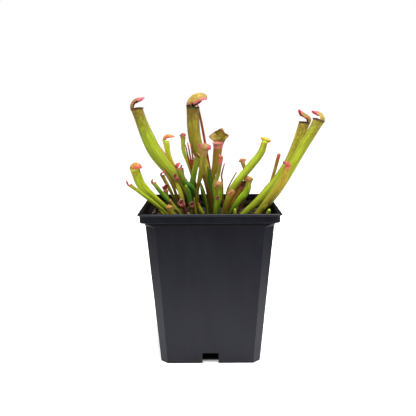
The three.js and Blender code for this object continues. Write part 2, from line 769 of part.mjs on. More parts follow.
const SMALL_PITCHERS = [
  {
    name: 'pitcher_slim_left',
    path: [[-6.5, 12, 0, 1.7], [-13, 12, 29, 1.9], [-18, 13, 44, 2.6], [-18.5, 13.5, 53.5, 3.2]],
    faces: 60,
    hood: { length: 4.5, spread: 3.1, arch: 110, roll: 0.7 },
    colour: 0x92b23c,
  },
  {
    name: 'pitcher_left_low',
    path: [[-25.5, -13, 0, 2], [-35, -16, 10, 2.6], [-45, -18, 18.5, 2.6], [-52, -19, 24, 2.4]],
    faces: 10,
    hood: { length: 4.5, spread: 2, arch: 50, lean: 10, roll: 1.2 },
    colour: 0x9aa83a,
  },
  {
    name: 'pitcher_red_hook',
    path: [[-20, 5, 0, 1.8], [-26, 4, 14.5, 2.2], [-29.5, 4, 21.5, 2.5], [-32.5, 4, 27.5, 2.6]],
    faces: 10,
    hood: { length: 4.5, arch: 140 },
    colour: 0x6f8a33,
  },
  {
    name: 'pitcher_pink_left',
    path: [[-25.5, -1, 0, 2], [-28.5, -2, 9.5, 2.4], [-29.5, -3, 14, 2.8], [-30, -3, 18, 3.2]],
    faces: -40,
    hood: { length: 5.5, spread: 3.5, arch: 80, roll: 0.5, ruffle: 0.5 },
    colour: 0xa5744a,
  },
  {
    name: 'pitcher_pink_triangle',
    path: [[-17, 1, 0, 2], [-17, 0, 13, 2.6], [-20.5, 0, 21, 2.8], [-22.5, 0, 26, 2.8]],
    faces: -30,
    hood: { spread: 2.2, arch: 60, roll: 0.4 },
    colour: 0x7b5538,
  },
  {
    name: 'pitcher_brown_stub',
    path: [[-13.5, 4, 0, 1.6], [-15, 4, 20.5, 2], [-18, 4, 27, 2], [-19, 4, 32.5, 2]],
    faces: -20,
    hood: { length: 3, spread: 1.6, arch: 60 },
    colour: 0x84603a,
  },
  {
    name: 'pitcher_pink_low',
    path: [[-15, -14, 0, 2.2], [-16, -14.5, 5, 2.5], [-17, -14.5, 8, 2.8], [-18, -15, 10, 3]],
    faces: -60,
    hood: { spread: 2.6, arch: 60, roll: 0.3, ruffle: 0.5 },
    colour: 0xa2625a,
  },
  {
    name: 'pitcher_pink_low_small',
    path: [[-12.5, -15.5, 0, 1.7], [-12.5, -15.5, 4, 1.9], [-12, -15, 7, 2.1], [-12, -15, 9, 2.2]],
    faces: -70,
    hood: { length: 3, spread: 1.6, arch: 60, roll: 0.3 },
    colour: 0x9c5f57,
  },
  {
    name: 'pitcher_pink_tip',
    path: [[-17, -17, 0, 1.7], [-20.5, -18, 6, 2], [-23, -19, 8.5, 2.2], [-25, -19, 12, 2]],
    faces: 30,
    hood: { length: 3, spread: 1.6, arch: 90 },
    colour: 0x9ba645,
  },
  {
    name: 'pitcher_tiny_pink',
    path: [[3.5, -19, 0, 1.6], [4, -20, 8.5, 1.6], [4.5, -20, 12, 1.7], [5, -20, 14.5, 1.8]],
    faces: -60,
    hood: { length: 2.4, spread: 1.4, arch: 70 },
    colour: 0x7c9140,
  },
  {
    name: 'pitcher_small_right',
    path: [[14, 10, 0, 1.8], [22.5, 12, 11.5, 2], [26, 14, 26.5, 2.4], [24, 15, 35.5, 2.8]],
    faces: 100,
    hood: { length: 4, spread: 3.2, arch: 100, roll: 0.8 },
    colour: 0xa87750,
  },
];

// Leaves with no open mouth: young ones still shut, and flat, dead or thread-thin ones.
const CLOSED_LEAVES = [
  {
    name: 'bud_right_slender',
    path: [[28, 13, 0, 1.4], [40.5, 14, 13, 1.8], [45.5, 15, 26, 2.3], [49.5, 15, 41, 2.6]],
    faces: 180,
    colour: 0x9a6a35,
  },
  {
    name: 'bud_left',
    path: [[-27, -20, 0, 1.6], [-30.5, -22, 5, 1.8], [-32, -22.5, 6.5, 1.8], [-33, -23, 8, 1.3]],
    faces: 0,
    colour: 0x94a443,
  },
  {
    name: 'bud_right',
    path: [[36, -25, 0, 2.2], [37.5, -26, 4, 2.8], [38, -27, 6, 3], [38.5, -28, 8.5, 2]],
    faces: 180,
    colour: 0x9bb043,
  },
  {
    name: 'bud_front',
    path: [[15.5, -23, 0, 2.2], [16, -24, 4, 2.6], [16.5, -25, 6, 2.6], [16.5, -25, 8.5, 1.6]],
    faces: 90,
    colour: 0x9cb24c,
  },
  {
    name: 'bud_middle',
    path: [[-13, -25, 0, 2], [-13.5, -26, 3.5, 2.4], [-13.5, -26, 5, 2.4], [-14, -26, 6.5, 1.6]],
    faces: 90,
    colour: 0x93a24a,
  },
  {
    name: 'blade_grey_green',
    path: [[-16.5, -6.5, 0, 2], [-19, -7, 14, 3.2], [-21, -7, 20.5, 3.2], [-23.5, -7, 25.5, 2]],
    faces: -60,
    thin: 0.5,
    colour: 0x77854a,
  },
  {
    name: 'blade_brown_folded',
    path: [[-15, -3, 0, 1.8], [-21.5, -3, 12, 2.2], [-26, -3, 23.5, 2.2], [-31.5, -2, 32, 1.6]],
    faces: -60,
    thin: 0.5,
    colour: 0x8f6a3c,
  },
  {
    name: 'blade_green_middle',
    path: [[0, 1, 0, 2.6], [-2.5, 0, 8.5, 3.2], [-4.5, -1, 16.5, 3.2], [-6, -2, 23, 1.6]],
    faces: -80,
    thin: 0.5,
    colour: 0x3f6e26,
  },
  {
    name: 'blade_olive_middle',
    path: [[2.5, -3, 0, 2], [0, -3.5, 14, 2.4], [-2.5, -4.5, 23, 2.4], [-4.5, -5, 32, 1.4]],
    faces: -80,
    thin: 0.6,
    colour: 0x5c4a26,
  },
  {
    name: 'blade_green_back',
    path: [[5, 2, 0, 2.4], [2.3, 1.5, 14, 3.4], [0.8, 1.5, 25, 3.6], [-0.9, 1.5, 34, 1.6]],
    faces: -80,
    thin: 0.5,
    colour: 0x4f7a26,
  },
  {
    name: 'blade_green_left',
    path: [[-12, -9, 0, 2.2], [-13, -10, 9.5, 3], [-14, -10, 17.5, 3], [-16, -10, 22.5, 1.6]],
    faces: -80,
    thin: 0.5,
    colour: 0x5f8a2c,
  },
  {
    name: 'blade_dark_right',
    path: [[17.5, 4, 0, 2.2], [21.5, 4, 5, 2.2], [24, 4, 9.5, 2.2], [26, 4, 15, 1.2]],
    faces: -90,
    thin: 0.5,
    colour: 0x5c2c20,
  },
  {
    name: 'blade_light_front',
    path: [[-3.2, -18, 0, 1.8], [-4.5, -19, 5, 2], [-6, -20, 8, 2], [-7.5, -20, 12, 1.2]],
    faces: -90,
    thin: 0.5,
    colour: 0x9fbf52,
  },
  {
    name: 'blade_low_right',
    path: [[29, -20, 0, 2.2], [33.5, -21, 7, 2.4], [36, -22, 9.5, 2.4], [39, -22, 12, 1.2]],
    faces: -90,
    thin: 0.5,
    colour: 0x8aa648,
  },
  {
    name: 'stalk_rust_red',
    path: [
      [5, 20, 0, 1.4],
      [2, 21, 21.5, 1.6],
      [-1.5, 22.5, 41, 1.8],
      [-5, 24, 61, 1.8],
      [-8, 25, 76, 1.4],
    ],
    faces: -90,
    colour: 0xa3421f,
  },
  {
    name: 'thread_folded',
    path: [[9.5, 3, 0, 1.4], [9, 4, 22, 1.4], [8.5, 5, 28, 1.3], [10.5, 5, 36, 0.8]],
    faces: -90,
    colour: 0x9c5a2c,
  },
  {
    name: 'thread_right',
    path: [[11, 7, 0, 1.2], [12, 7, 14.5, 1.2], [14.5, 8, 21.5, 1.1], [19, 9, 29.5, 0.8]],
    faces: -90,
    colour: 0x94763c,
  },
  {
    name: 'thread_light',
    path: [[-1, -8, 0, 1.2], [-2.6, -9, 12.5, 1.2], [-4.7, -10, 19, 1], [-6, -10, 22.5, 0.8]],
    faces: -90,
    colour: 0x9aa650,
  },
  {
    name: 'thread_pale',
    path: [[-8.5, -16, 0, 1], [-9.5, -16, 7, 1], [-10, -16, 11, 1], [-10.3, -16, 15, 0.8]],
    faces: -90,
    colour: 0xb0b56a,
  },
];

// A dead leaf split into three straps that part at the fork.
const SPLIT_FOOT = [-5.5, 9.5, 0, 1.4];
const SPLIT_FORK = [-11.5, 6.5, 29, 1.8];
const SPLIT_LEAF = {
  name: 'blade_dead_split',
  colour: 0xa04a24,
  straps: [
    [[-14.5, 6, 39.5, 1.3], [-16.5, 6, 49, 0.8]],
    [[-13, 6, 39.5, 1.3], [-15, 6, 50.5, 0.8]],
    [[-11.5, 6, 39.5, 1.3], [-13, 6, 49.5, 0.8]],
  ],
};

function splitStraps() {
  return SPLIT_LEAF.straps.map((ends) => ({
    path: [SPLIT_FOOT, SPLIT_FORK, ...ends],
    faces: -90,
    thin: 0.6,
  }));
}

// ---- The assembly ---------------------------------------------------------------------

const group = new THREE.Group();
const holes = [];

const pitchers = [
  ...LARGE_PITCHERS.map((leaf) => ({ ...leaf, grade: 'large' })),
  ...MEDIUM_PITCHERS.map((leaf) => ({ ...leaf, grade: 'medium' })),
  ...SMALL_PITCHERS.map((leaf) => ({ ...leaf, grade: 'small' })),
];
for (const leaf of pitchers) {
  group.add(makeMesh(leaf.name, pitcherGeometry(leaf), leaf.colour, LEAF_ROUGHNESS));
  holes.push(soilHole(leaf));
}
for (const leaf of CLOSED_LEAVES) {
  group.add(makeMesh(leaf.name, closedGeometry(leaf), leaf.colour, LEAF_ROUGHNESS));
  holes.push(soilHole(leaf));
}

const straps = splitStraps();
const splitSolid = straps.map((strap) => toSolid(closedGeometry(strap))).reduce((all, one) => all.add(one));
group.add(makeMesh(SPLIT_LEAF.name, toGeometry(splitSolid), SPLIT_LEAF.colour, LEAF_ROUGHNESS));
holes.push(soilHole(straps[0]));

group.add(makePot());
group.add(makePottingMix(holes));

export default group;
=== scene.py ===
# %% [markdown]
# # A potted pitcher plant
#
# A square nursery pot holds a clump of pitcher leaves. Each leaf is a tube that the plant uses
# as a trap: it widens upward, ends in a mouth with a rolled lip, and carries a small arching
# hood over that mouth. This lesson builds the finished look of every piece round a model whose
# sizes and places are already settled. It starts by loading that model as a fixed frame, so
# that every new piece can sit exactly where the old one did.

import math

import bmesh
import bpy
import numpy as np
from mathutils import Matrix, Vector, noise


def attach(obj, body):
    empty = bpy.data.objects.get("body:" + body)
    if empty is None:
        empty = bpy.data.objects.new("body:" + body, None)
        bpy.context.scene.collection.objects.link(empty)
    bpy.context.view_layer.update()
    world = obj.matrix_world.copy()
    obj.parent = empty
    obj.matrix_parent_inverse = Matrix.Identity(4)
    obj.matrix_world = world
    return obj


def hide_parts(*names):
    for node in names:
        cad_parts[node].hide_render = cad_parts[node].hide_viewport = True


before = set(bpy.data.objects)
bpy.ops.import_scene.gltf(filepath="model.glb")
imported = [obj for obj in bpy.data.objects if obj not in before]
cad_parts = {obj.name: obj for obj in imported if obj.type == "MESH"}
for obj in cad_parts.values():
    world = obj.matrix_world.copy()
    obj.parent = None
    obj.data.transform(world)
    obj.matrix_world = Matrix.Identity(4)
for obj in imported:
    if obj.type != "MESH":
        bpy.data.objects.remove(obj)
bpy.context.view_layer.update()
print("nodes in the frame:", len(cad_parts))

# %% [markdown]
# ## The camera
#
# The camera comes first, because everything after it is judged through it. It stands 40
# centimetres in front of the pot's middle and six above its rim, and looks down by about nine
# degrees, so the rim shows as a thin band with the inside of the far wall behind it.

# %% Place the camera
MM = 0.001
CAMERA_PLACE = (-1.14, -399.1, 166.1)
CAMERA_TILT = 9.46
CAMERA_ROLL = 0.33
CAMERA_LENS = 50.28


def show(name, data):
    """Puts new data into the scene as an object."""
    made = bpy.data.objects.new(name, data)
    bpy.context.scene.collection.objects.link(made)
    return made


camera_data = bpy.data.cameras.new("camera")
camera_data.lens = CAMERA_LENS
camera_data.sensor_width = 36
camera = show("camera", camera_data)
camera.location = Vector(CAMERA_PLACE) * MM
tilt = Matrix.Rotation(math.radians(90 - CAMERA_TILT), 3, "X")
roll = Matrix.Rotation(math.radians(-CAMERA_ROLL), 3, "Z")
camera.rotation_euler = (tilt @ roll).to_euler()
bpy.context.scene.camera = camera
print("camera", [round(place) for place in CAMERA_PLACE], "mm, tilted", CAMERA_TILT, "degrees")

# %% [markdown]
# ## Writing shader trees
#
# Every finish here is a tree of shader nodes. Such a tree could be drawn by hand, but a tree in
# code can be read, repeated and changed in one place. A small class keeps the tree and gives
# each kind of node a short name, and a plain value, a colour or another node's output all go
# into a socket in the same way.

# %% A class for shader trees
def colour(code):
    """Turns six hexadecimal digits into the linear colour that a shader mixes."""
    shares = [int(code[k:k + 2], 16) / 255 for k in (0, 2, 4)]
    linear = [s / 12.92 if s <= 0.04045 else ((s + 0.055) / 1.055) ** 2.4 for s in shares]
    return (*linear, 1.0)


class Tree:
    """A shader tree, with a short method for each kind of node that the finishes use."""

    def __init__(self, tree):
        self.tree = tree

    def node(self, kind, **settings):
        made = self.tree.nodes.new("ShaderNode" + kind)
        for name, value in settings.items():
            setattr(made, name, value)
        return made

    def join(self, socket, value):
        """Links another node's output into a socket, or sets it to a value or a colour code."""
        if isinstance(value, bpy.types.NodeSocket):
            self.tree.links.new(value, socket)
        else:
            socket.default_value = colour(value) if isinstance(value, str) else value

    def feed(self, sockets, **values):
        """Joins many sockets by name; an underscore in a name stands for a space."""
        for name, value in values.items():
            self.join(sockets[name.replace("_", " ")], value)

    def maths(self, operation, *values):
        made = self.node("Math", operation=operation)
        for socket, value in zip(made.inputs, values):
            self.join(socket, value)
        return made.outputs[0]

    def times(self, first, second):
        return self.maths("MULTIPLY", first, second)

    def times_plus(self, first, second, third):
        return self.maths("MULTIPLY_ADD", first, second, third)

    def smooth(self, value, low, high):
        """0 at low, 1 at high, and an even swing between them."""
        made = self.node("MapRange", interpolation_type="SMOOTHSTEP")
        self.feed(made.inputs, Value=value, From_Min=low, From_Max=high)
        return made.outputs["Result"]

    def mix(self, share, first, second, blend="MIX"):
        made = self.node("Mix", data_type="RGBA", blend_type=blend)
        for index, value in ((0, share), (6, first), (7, second)):
            self.join(made.inputs[index], value)
        return made.outputs[2]

    def wash(self, base, mask, share, code):
        """Lays a colour over the base where the mask is, by a share."""
        return self.mix(self.times(mask, share), base, code)

    def stain_and_shade(self, base, share, code):
        """Darkens the base by multiplying in a colour, by a share; it serves for stains and for painted
        shade.
        """
        return self.mix(share, base, self.mix(1.0, base, code, "MULTIPLY"))

    def scaled(self, vector, *factors):
        made = self.node("VectorMath", operation="MULTIPLY")
        self.join(made.inputs[0], vector)
        made.inputs[1].default_value = factors
        return made.outputs[0]

    def split(self, vector):
        made = self.node("SeparateXYZ")
        self.join(made.inputs[0], vector)
        return made.outputs

    def noise(self, vector, scale, detail=3.0):
        made = self.node("TexNoise")
        self.feed(made.inputs, Vector=vector, Scale=scale, Detail=detail, Roughness=0.55)
        return made.outputs["Fac"]

    def spot(self):
        """Where a point of the piece is, in metres."""
        return self.node("TexCoord").outputs["Object"]

    def note(self, name):
        return self.node("Attribute", attribute_name=name).outputs["Vector"]

    def place(self, group, **values):
        """Places a shader group and gives its outputs."""
        made = self.node("Group", node_tree=group.tree)
        self.feed(made.inputs, **values)
        return made.outputs

    def bump(self, shader, height, strength, distance):
        made = self.node("Bump")
        self.feed(made.inputs, Height=height, Strength=strength, Distance=distance)
        self.join(shader["Normal"], made.outputs["Normal"])


def new_finish(name):
    """A new material, its tree and its shader's sockets."""
    made = bpy.data.materials.new(name)
    made.use_nodes = True
    return made, Tree(made.node_tree), made.node_tree.nodes["Principled BSDF"].inputs


print("black, grey and white:", [round(colour(code)[0], 2) for code in ("000000", "808080", "ffffff")])

# %% [markdown]
# ## Floor and light
#
# A plant on a white sweep is lit from all round. A bright sky does most of that, a large soft
# lamp above gives the leaves their light upper sides, and a pale floor throws light up under
# the rim. The dark pot is different: it hardly scatters light, so what shows on it is the
# reflection of its surroundings. What mirrored rays see is therefore set apart: a dim sky in
# front keeps the front of the pot dark, brighter sky at the sides lights its slanted corners, a
# little from above draws its rim, and the lamp's shine is turned down.

# %% Sky
SKY_STRENGTH = 0.85
SKY_FRONT_SHARE, SKY_SIDE_SHARE, SKY_TOP_SHARE = 0.05, 2.9, 0.25
SIDE_STARTS, SIDE_FULL, TOP_STARTS = 0.3, 0.85, 0.5

world = bpy.data.worlds.new("sky")
bpy.context.scene.world = world
world.use_nodes = True
sky = Tree(world.node_tree)
across, _, upward = sky.split(sky.node("TexCoord").outputs["Generated"])
sideways = sky.smooth(sky.maths("ABSOLUTE", across), SIDE_STARTS, SIDE_FULL)
mirrored = sky.times_plus(sideways, SKY_SIDE_SHARE, SKY_FRONT_SHARE)
mirrored = sky.times_plus(sky.smooth(upward, TOP_STARTS, 1.0), SKY_TOP_SHARE, mirrored)
rays = sky.node("LightPath").outputs
level = sky.mix(rays["Is Glossy Ray"], "ffffff", mirrored)
level = sky.mix(rays["Is Camera Ray"], level, (1 / SKY_STRENGTH,) * 3 + (1,))
sky.feed(world.node_tree.nodes["Background"].inputs, Color="ffffff",
         Strength=sky.times(sky.split(level)[0], SKY_STRENGTH))
print("sky", SKY_STRENGTH, "and", SKY_FRONT_SHARE, "of it mirrored from the front")

# %% Lamp and floor
LAMP_SIZE = 0.8
LAMP_POWER = 24.0
LAMP_SHINE = 0.6
LAMP_PLACE, LAMP_AIM = (0.12, -0.22, 1.05), (0, 0, 0.1)
FLOOR_SIZE = 12.0
FLOOR_NEAR, FLOOR_FAR = 0.06, 0.28
FLOOR_GLOW = 0.22

lamp_data = bpy.data.lights.new("soft_lamp", "AREA")
lamp_data.shape = "SQUARE"
lamp_data.size = LAMP_SIZE
lamp_data.energy = LAMP_POWER
lamp_data.specular_factor = LAMP_SHINE
lamp = show("soft_lamp", lamp_data)
lamp.location = LAMP_PLACE
lamp.rotation_euler = (Vector(LAMP_AIM) - lamp.location).to_track_quat("-Z", "Y").to_euler()

reach = FLOOR_SIZE / 2
floor_mesh = bpy.data.meshes.new("floor")
floor_mesh.from_pydata([(-reach, -reach, 0), (reach, -reach, 0), (reach, reach, 0), (-reach, reach, 0)],
                       [], [(0, 1, 2, 3)])
floor = show("floor", floor_mesh)
floor_finish, t, shader = new_finish("pale_floor")
spot = t.spot()
rays = t.node("LightPath").outputs
pale = t.mix(t.noise(spot, 9.0), "f6f6f6", "fafafa")
# The floor that the pot mirrors ends soon, as a table does in front of a dark room.
away = t.node("VectorMath", operation="LENGTH")
t.join(away.inputs[0], spot)
fading = t.smooth(away.outputs["Value"], FLOOR_NEAR, FLOOR_FAR)
pale = t.wash(pale, fading, rays["Is Glossy Ray"], "1c1c1c")
# Studio sweeps are lit until they burn out to plain white, which the plain floor alone isn't.
t.feed(shader, Base_Color=pale, Roughness=0.9, Emission_Color="ffffff",
       Emission_Strength=t.times(rays["Is Camera Ray"], FLOOR_GLOW))
floor_mesh.materials.append(floor_finish)

bpy.context.scene.view_settings.view_transform = "Standard"
print("floor", FLOOR_SIZE, "m wide, lamp", LAMP_POWER, "W")

# %% [markdown]
# ## Effects that several finishes share
#
# Plastic, peat and leaf all need some unevenness: a mask of soft blotches, and one of fine
# specks. Each is a node group, built once and placed in every finish with its own values. The
# leaves share three more. One tints a leaf along its length, one draws the fine ribs that run
# up a tube, and one draws the net of veins that spreads over a hood.

# %% Blotches and specks
BLOTCH_LEAST, BLOTCH_SWING = 0.85, 0.6
SPECKS_LEFT_OUT = 0.55
SOCKETS = {"colour": "NodeSocketColor", "number": "NodeSocketFloat", "vector": "NodeSocketVector"}


def new_group(name, inputs, outputs):
    """An empty shader group; each socket is given by its kind and its name."""
    tree = bpy.data.node_groups.new(name, "ShaderNodeTree")
    for way, sockets in (("INPUT", inputs), ("OUTPUT", outputs)):
        for socket in sockets.split(", "):
            kind, label = socket.split(" ", 1)
            tree.interface.new_socket(label, in_out=way, socket_type=SOCKETS[kind])
    entry = tree.nodes.new("NodeGroupInput").outputs
    return Tree(tree), entry, tree.nodes.new("NodeGroupOutput").inputs


t, entry, out = new_group(
    "blotches", "vector Place, number Scale, number Amount, number Softness", "number Mask")
cloud = t.noise(entry["Place"], entry["Scale"], 4.0)
edge = t.maths("SUBTRACT", BLOTCH_LEAST, t.times(entry["Amount"], BLOTCH_SWING))
t.feed(out, Mask=t.smooth(cloud, t.maths("SUBTRACT", edge, entry["Softness"]), edge))
blotches = t

t, entry, out = new_group(
    "specks", "vector Place, number Scale, number Size", "number Mask, number Height")
cells = t.node("TexVoronoi")
t.feed(cells.inputs, Vector=entry["Place"], Scale=entry["Scale"])
near = t.smooth(cells.outputs["Distance"], entry["Size"], 0.0)
kept = t.maths("GREATER_THAN", t.split(cells.outputs["Color"])[0], SPECKS_LEFT_OUT)
t.feed(out, Mask=t.times(near, kept), Height=near)
specks = t


def patchy(tree, place, scale, amount, softness):
    """A mask of soft blotches."""
    return tree.place(blotches, Place=place, Scale=scale, Amount=amount, Softness=softness)["Mask"]


print("groups:", [group.name for group in bpy.data.node_groups])

# %% Tint along a leaf, ribs and veins
TINT_SWAY = 0.35
FOOT_START = 0.02
RIB_SHARPNESS = 5.0
VEIN_PUSH = 1.6
VEIN_RELIEF = 0.35

t, entry, out = new_group(
    "length_tint", "number Along, number Sway, colour Foot, colour Body, colour Neck, "
    "number Foot Reach, number Neck Start", "colour Color")
swayed = t.times(t.maths("SUBTRACT", entry["Sway"], 0.5), TINT_SWAY)
swayed = t.maths("ADD", entry["Along"], swayed)
# The foot colour is darker than the body: partly the leaf's own tone at its base and partly painted
# shade among the crowded feet.
lower = t.mix(t.smooth(swayed, FOOT_START, entry["Foot Reach"]), entry["Foot"], entry["Body"])
t.feed(out, Color=t.mix(t.smooth(swayed, entry["Neck Start"], 1.0), lower, entry["Neck"]))
length_tint = t

t, entry, out = new_group(
    "tube_ribs", "vector Unrolled, number Count, number Wander", "number Mask, number Height")
ahead, sideward, _ = t.split(entry["Unrolled"])
drift = t.noise(t.scaled(entry["Unrolled"], 0.25, 0.25, 0.06), 1.0, 2.0)
phase = t.times_plus(t.maths("ARCTAN2", sideward, ahead), entry["Count"],
                     t.times(drift, entry["Wander"]))
swing = t.times_plus(t.maths("SINE", phase), 0.5, 0.5)
t.feed(out, Mask=t.maths("POWER", swing, RIB_SHARPNESS), Height=swing)
tube_ribs = t

t, entry, out = new_group(
    "vein_net", "vector Unrolled, number Scale, number Width", "number Mask, number Height")
bent = t.node("TexNoise")
t.feed(bent.inputs, Vector=entry["Unrolled"], Scale=0.5)
push = t.node("VectorMath", operation="MULTIPLY_ADD")
for index, value in enumerate((bent.outputs["Color"], (VEIN_PUSH,) * 3,
                               t.scaled(entry["Unrolled"], 1.0, 1.0, 0.5))):
    t.join(push.inputs[index], value)
net = t.node("TexVoronoi", feature="DISTANCE_TO_EDGE")
t.feed(net.inputs, Vector=push.outputs[0], Scale=entry["Scale"])
to_vein = net.outputs["Distance"]
t.feed(out, Mask=t.smooth(to_vein, entry["Width"], 0.0), Height=t.smooth(to_vein, VEIN_RELIEF, 0.0))
vein_net = t
print("groups:", len(bpy.data.node_groups))

# %% [markdown]
# ## Collecting a surface
#
# Every piece below is a set of grids of points, joined into closed skins. A small class keeps
# the points, the faces, and what the finish has to know about each point. The finish reads
# four notes on each point: where it would lie if the leaf were straightened out and unrolled,
# how far along the leaf and its hood it is, whether it is inside, on the wing or on the lip,
# and whether it is on the underside of the hood.

# %% The skin class
class Skin:
    """Points, faces and notes of one piece, in millimetres."""

    NOTES = ("unrolled", "place", "marks", "sides")

    def __init__(self):
        self.points = []
        self.faces = []
        self.notes = {name: [] for name in self.NOTES}
        self.count = 0

    def add(self, points, **notes):
        """Adds a grid of points and returns the grid of their numbers."""
        shape = points.shape[:-1]
        self.points.append(points.reshape(-1, 3))
        for name in self.NOTES:
            note = np.broadcast_to(np.asarray(notes.get(name, 0.0), float), (*shape, 3))
            self.notes[name].append(note.reshape(-1, 3))
        numbers = np.arange(self.count, self.count + len(self.points[-1])).reshape(shape)
        self.count += numbers.size
        return numbers

    def sheet(self, grid, closed=False, flip=False):
        """Faces over a grid, row by row; a closed one joins its last column to its first."""
        if closed:
            grid = np.hstack([grid, grid[:, :1]])
        low, high = grid[:-1], grid[1:]
        quads = np.stack([low[:, :-1], low[:, 1:], high[:, 1:], high[:, :-1]], -1).reshape(-1, 4)
        self.faces.extend((quads[:, ::-1] if flip else quads).tolist())

    def fan(self, ring, middle, up, **notes):
        """Closes a ring round a middle point."""
        centre = int(self.add(np.asarray(middle, float)[None], **notes)[0])
        for here, after in zip(ring.tolist(), np.roll(ring, -1).tolist()):
            self.faces.append((here, after, centre) if up else (after, here, centre))

    def loft(self, rings, ends=None, flip=False, **notes):
        """A closed body through rings of points, with a fan over each end."""
        ends = ends or (rings[0].mean(0), rings[-1].mean(0))
        grid = self.add(np.stack(rings), **notes)
        self.sheet(grid, closed=True, flip=flip)
        self.fan(grid[0], ends[0], up=flip, **notes)
        self.fan(grid[-1], ends[1], up=not flip, **notes)
        return self

    def piece(self, name):
        """The finished Blender object, in metres and smooth."""
        mesh = bpy.data.meshes.new(name)
        mesh.from_pydata((np.vstack(self.points) * MM).tolist(), [], self.faces)
        for note, values in self.notes.items():
            layer = mesh.attributes.new(note, "FLOAT_VECTOR", "POINT")
            layer.data.foreach_set("vector", np.vstack(values).astype(np.float32).ravel())
        mesh.polygons.foreach_set("use_smooth", np.ones(len(mesh.polygons), bool))
        mesh.update()
        return show(name, mesh)


def settle(piece, finish, slot, *nodes):
    """Gives a piece its finish, and puts it in the place of the nodes that it stands for."""
    piece.data.materials.append(finish)
    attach(piece, "root")
    if nodes:
        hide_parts(*nodes)


print("a skin keeps", Skin.NOTES)

# %% [markdown]
# ## The pot
#
# The real pot is moulded in one piece from thin black plastic. Its walls taper, its corners are
# cut by long facets that stop short under the rim, and its rim is a band with a thin flange.
# It could be a cube with loop cuts, but its outline changes from ring to ring, so it is lofted:
# one closed outline per height, from the foot up the outside, over the flange and down the
# inside to the floor. Every moulded edge gets two close rings, so that it catches light.

# %% Outlines of the pot
POT_HEIGHT = 103.0
FLANGE_WIDTH, FLANGE_THICK, FLANGE_CORNER = 90.6, 1.2, 2.5
BAND_WIDTH, BAND_HEIGHT, BAND_CORNER, BAND_WALL = 88.6, 6.0, 4.5, 1.6
BODY_TOP_WIDTH, BODY_BASE_WIDTH = 83.0, 66.5
CHAMFER_UNDER_BAND, CHAMFER_RUN = 1.5, 3.2
CHAMFER_TOP, CHAMFER_BASE = 6.8, 4.7
POT_WALL = 1.2
FLOOR_UNDERSIDE, FLOOR_THICK = 0.9, 1.4
FOOT_RIM, PAD_RADIUS = 2.6, 7.0
DRAIN_RADIUS, DRAIN_OFFSET = 4.0, 16.0
WINDOW_WIDTH, WINDOW_HEIGHT, WINDOW_DEPTH = 10.7, 7.4, 3.6
EDGE_ROUND = 0.3
SIDE_STEPS, CORNER_STEPS = 10, 6

BAND_BASE = POT_HEIGHT - BAND_HEIGHT
CHAMFER_END = BAND_BASE - CHAMFER_RUN
FLOOR_TOP = FLOOR_UNDERSIDE + FLOOR_THICK
LEAST_CORNER = 0.8


def body_half(z):
    return (BODY_BASE_WIDTH + (BODY_TOP_WIDTH - BODY_BASE_WIDTH) * z / BAND_BASE) / 2


def body_chamfer(z):
    if z <= CHAMFER_END:
        return CHAMFER_BASE + (CHAMFER_TOP - CHAMFER_BASE) * z / CHAMFER_END
    share = min(1.0, (z - CHAMFER_END) / CHAMFER_RUN)
    return CHAMFER_TOP + (CHAMFER_UNDER_BAND - CHAMFER_TOP) * share


def outline(half, corner, z, rounded=True):
    """A square outline: straight sides, and corners that are cut or rounded."""
    angles = np.linspace(0, math.pi / 2, CORNER_STEPS + 1)
    # A cut corner keeps its two arrises slightly rounded, as moulded plastic does.
    soft = np.interp(np.linspace(0, 1, CORNER_STEPS + 1), [0, 0.12, 0.88, 1], [0, 0.06, 0.94, 1])
    x = half - corner + corner * (np.cos(angles) if rounded else 1 - soft)
    y = half - corner + corner * (np.sin(angles) if rounded else soft)
    side = np.linspace(-(half - corner), half - corner, SIDE_STEPS + 1)[1:-1]
    x = np.concatenate([np.full(side.size, half), x])
    y = np.concatenate([side, y])
    points = []
    for quarter in range(4):
        c, s = math.cos(quarter * math.pi / 2), math.sin(quarter * math.pi / 2)
        points.append(np.stack([c * x - s * y, s * x + c * y, np.full(x.size, z)], -1))
    return np.vstack(points)


def body_outline(z, inset=0.0):
    corner = max(body_chamfer(z) - inset * (2 - math.sqrt(2)), LEAST_CORNER)
    return outline(body_half(z) - inset, corner, z, rounded=False)


print("outline points:", len(body_outline(0)))

# %% Loft the pot
def loft_pot():
    e = EDGE_ROUND
    band, flange, inner = BAND_WIDTH / 2, FLANGE_WIDTH / 2, BAND_WIDTH / 2 - BAND_WALL
    flange_low = POT_HEIGHT - FLANGE_THICK
    inner_corner = BAND_CORNER - BAND_WALL
    rings = [body_outline(0, e), body_outline(e)]
    rings += [body_outline(z) for z in np.linspace(4, CHAMFER_END - 1, 12)]
    rings += [body_outline(CHAMFER_END + CHAMFER_RUN * share) for share in (0, 0.3, 0.6)]
    rings += [body_outline(BAND_BASE - e)]
    rings += [outline(half, corner, z) for half, corner, z in (
        (body_half(BAND_BASE) + e, CHAMFER_UNDER_BAND + 0.1, BAND_BASE),
        (band - e, BAND_CORNER, BAND_BASE),
        (band, BAND_CORNER, BAND_BASE + e),
        (band, BAND_CORNER, flange_low - 0.4),
        (band + 0.25, BAND_CORNER, flange_low),
        (flange - e, FLANGE_CORNER, flange_low + 0.1),
        (flange, FLANGE_CORNER, flange_low + 0.4),
        (flange, FLANGE_CORNER, POT_HEIGHT - e),
        (flange - e, FLANGE_CORNER, POT_HEIGHT),
        (inner + e, inner_corner, POT_HEIGHT),
        (inner, inner_corner, POT_HEIGHT - e),
        (inner, inner_corner, BAND_BASE + 1.2),
        (inner - 0.5, inner_corner, BAND_BASE + 0.7))]
    rings += [body_outline(z, POT_WALL) for z in (BAND_BASE - 0.6, CHAMFER_END, 50, FLOOR_TOP)]
    return Skin().loft(rings, ((0, 0, 0), (0, 0, FLOOR_TOP))).piece("pot_shell")


pot = loft_pot()
print("lofted pot:", len(pot.data.vertices), "points")

# %% Cut its openings
DISC_SIDES = 40
SHARP_ANGLE = 32


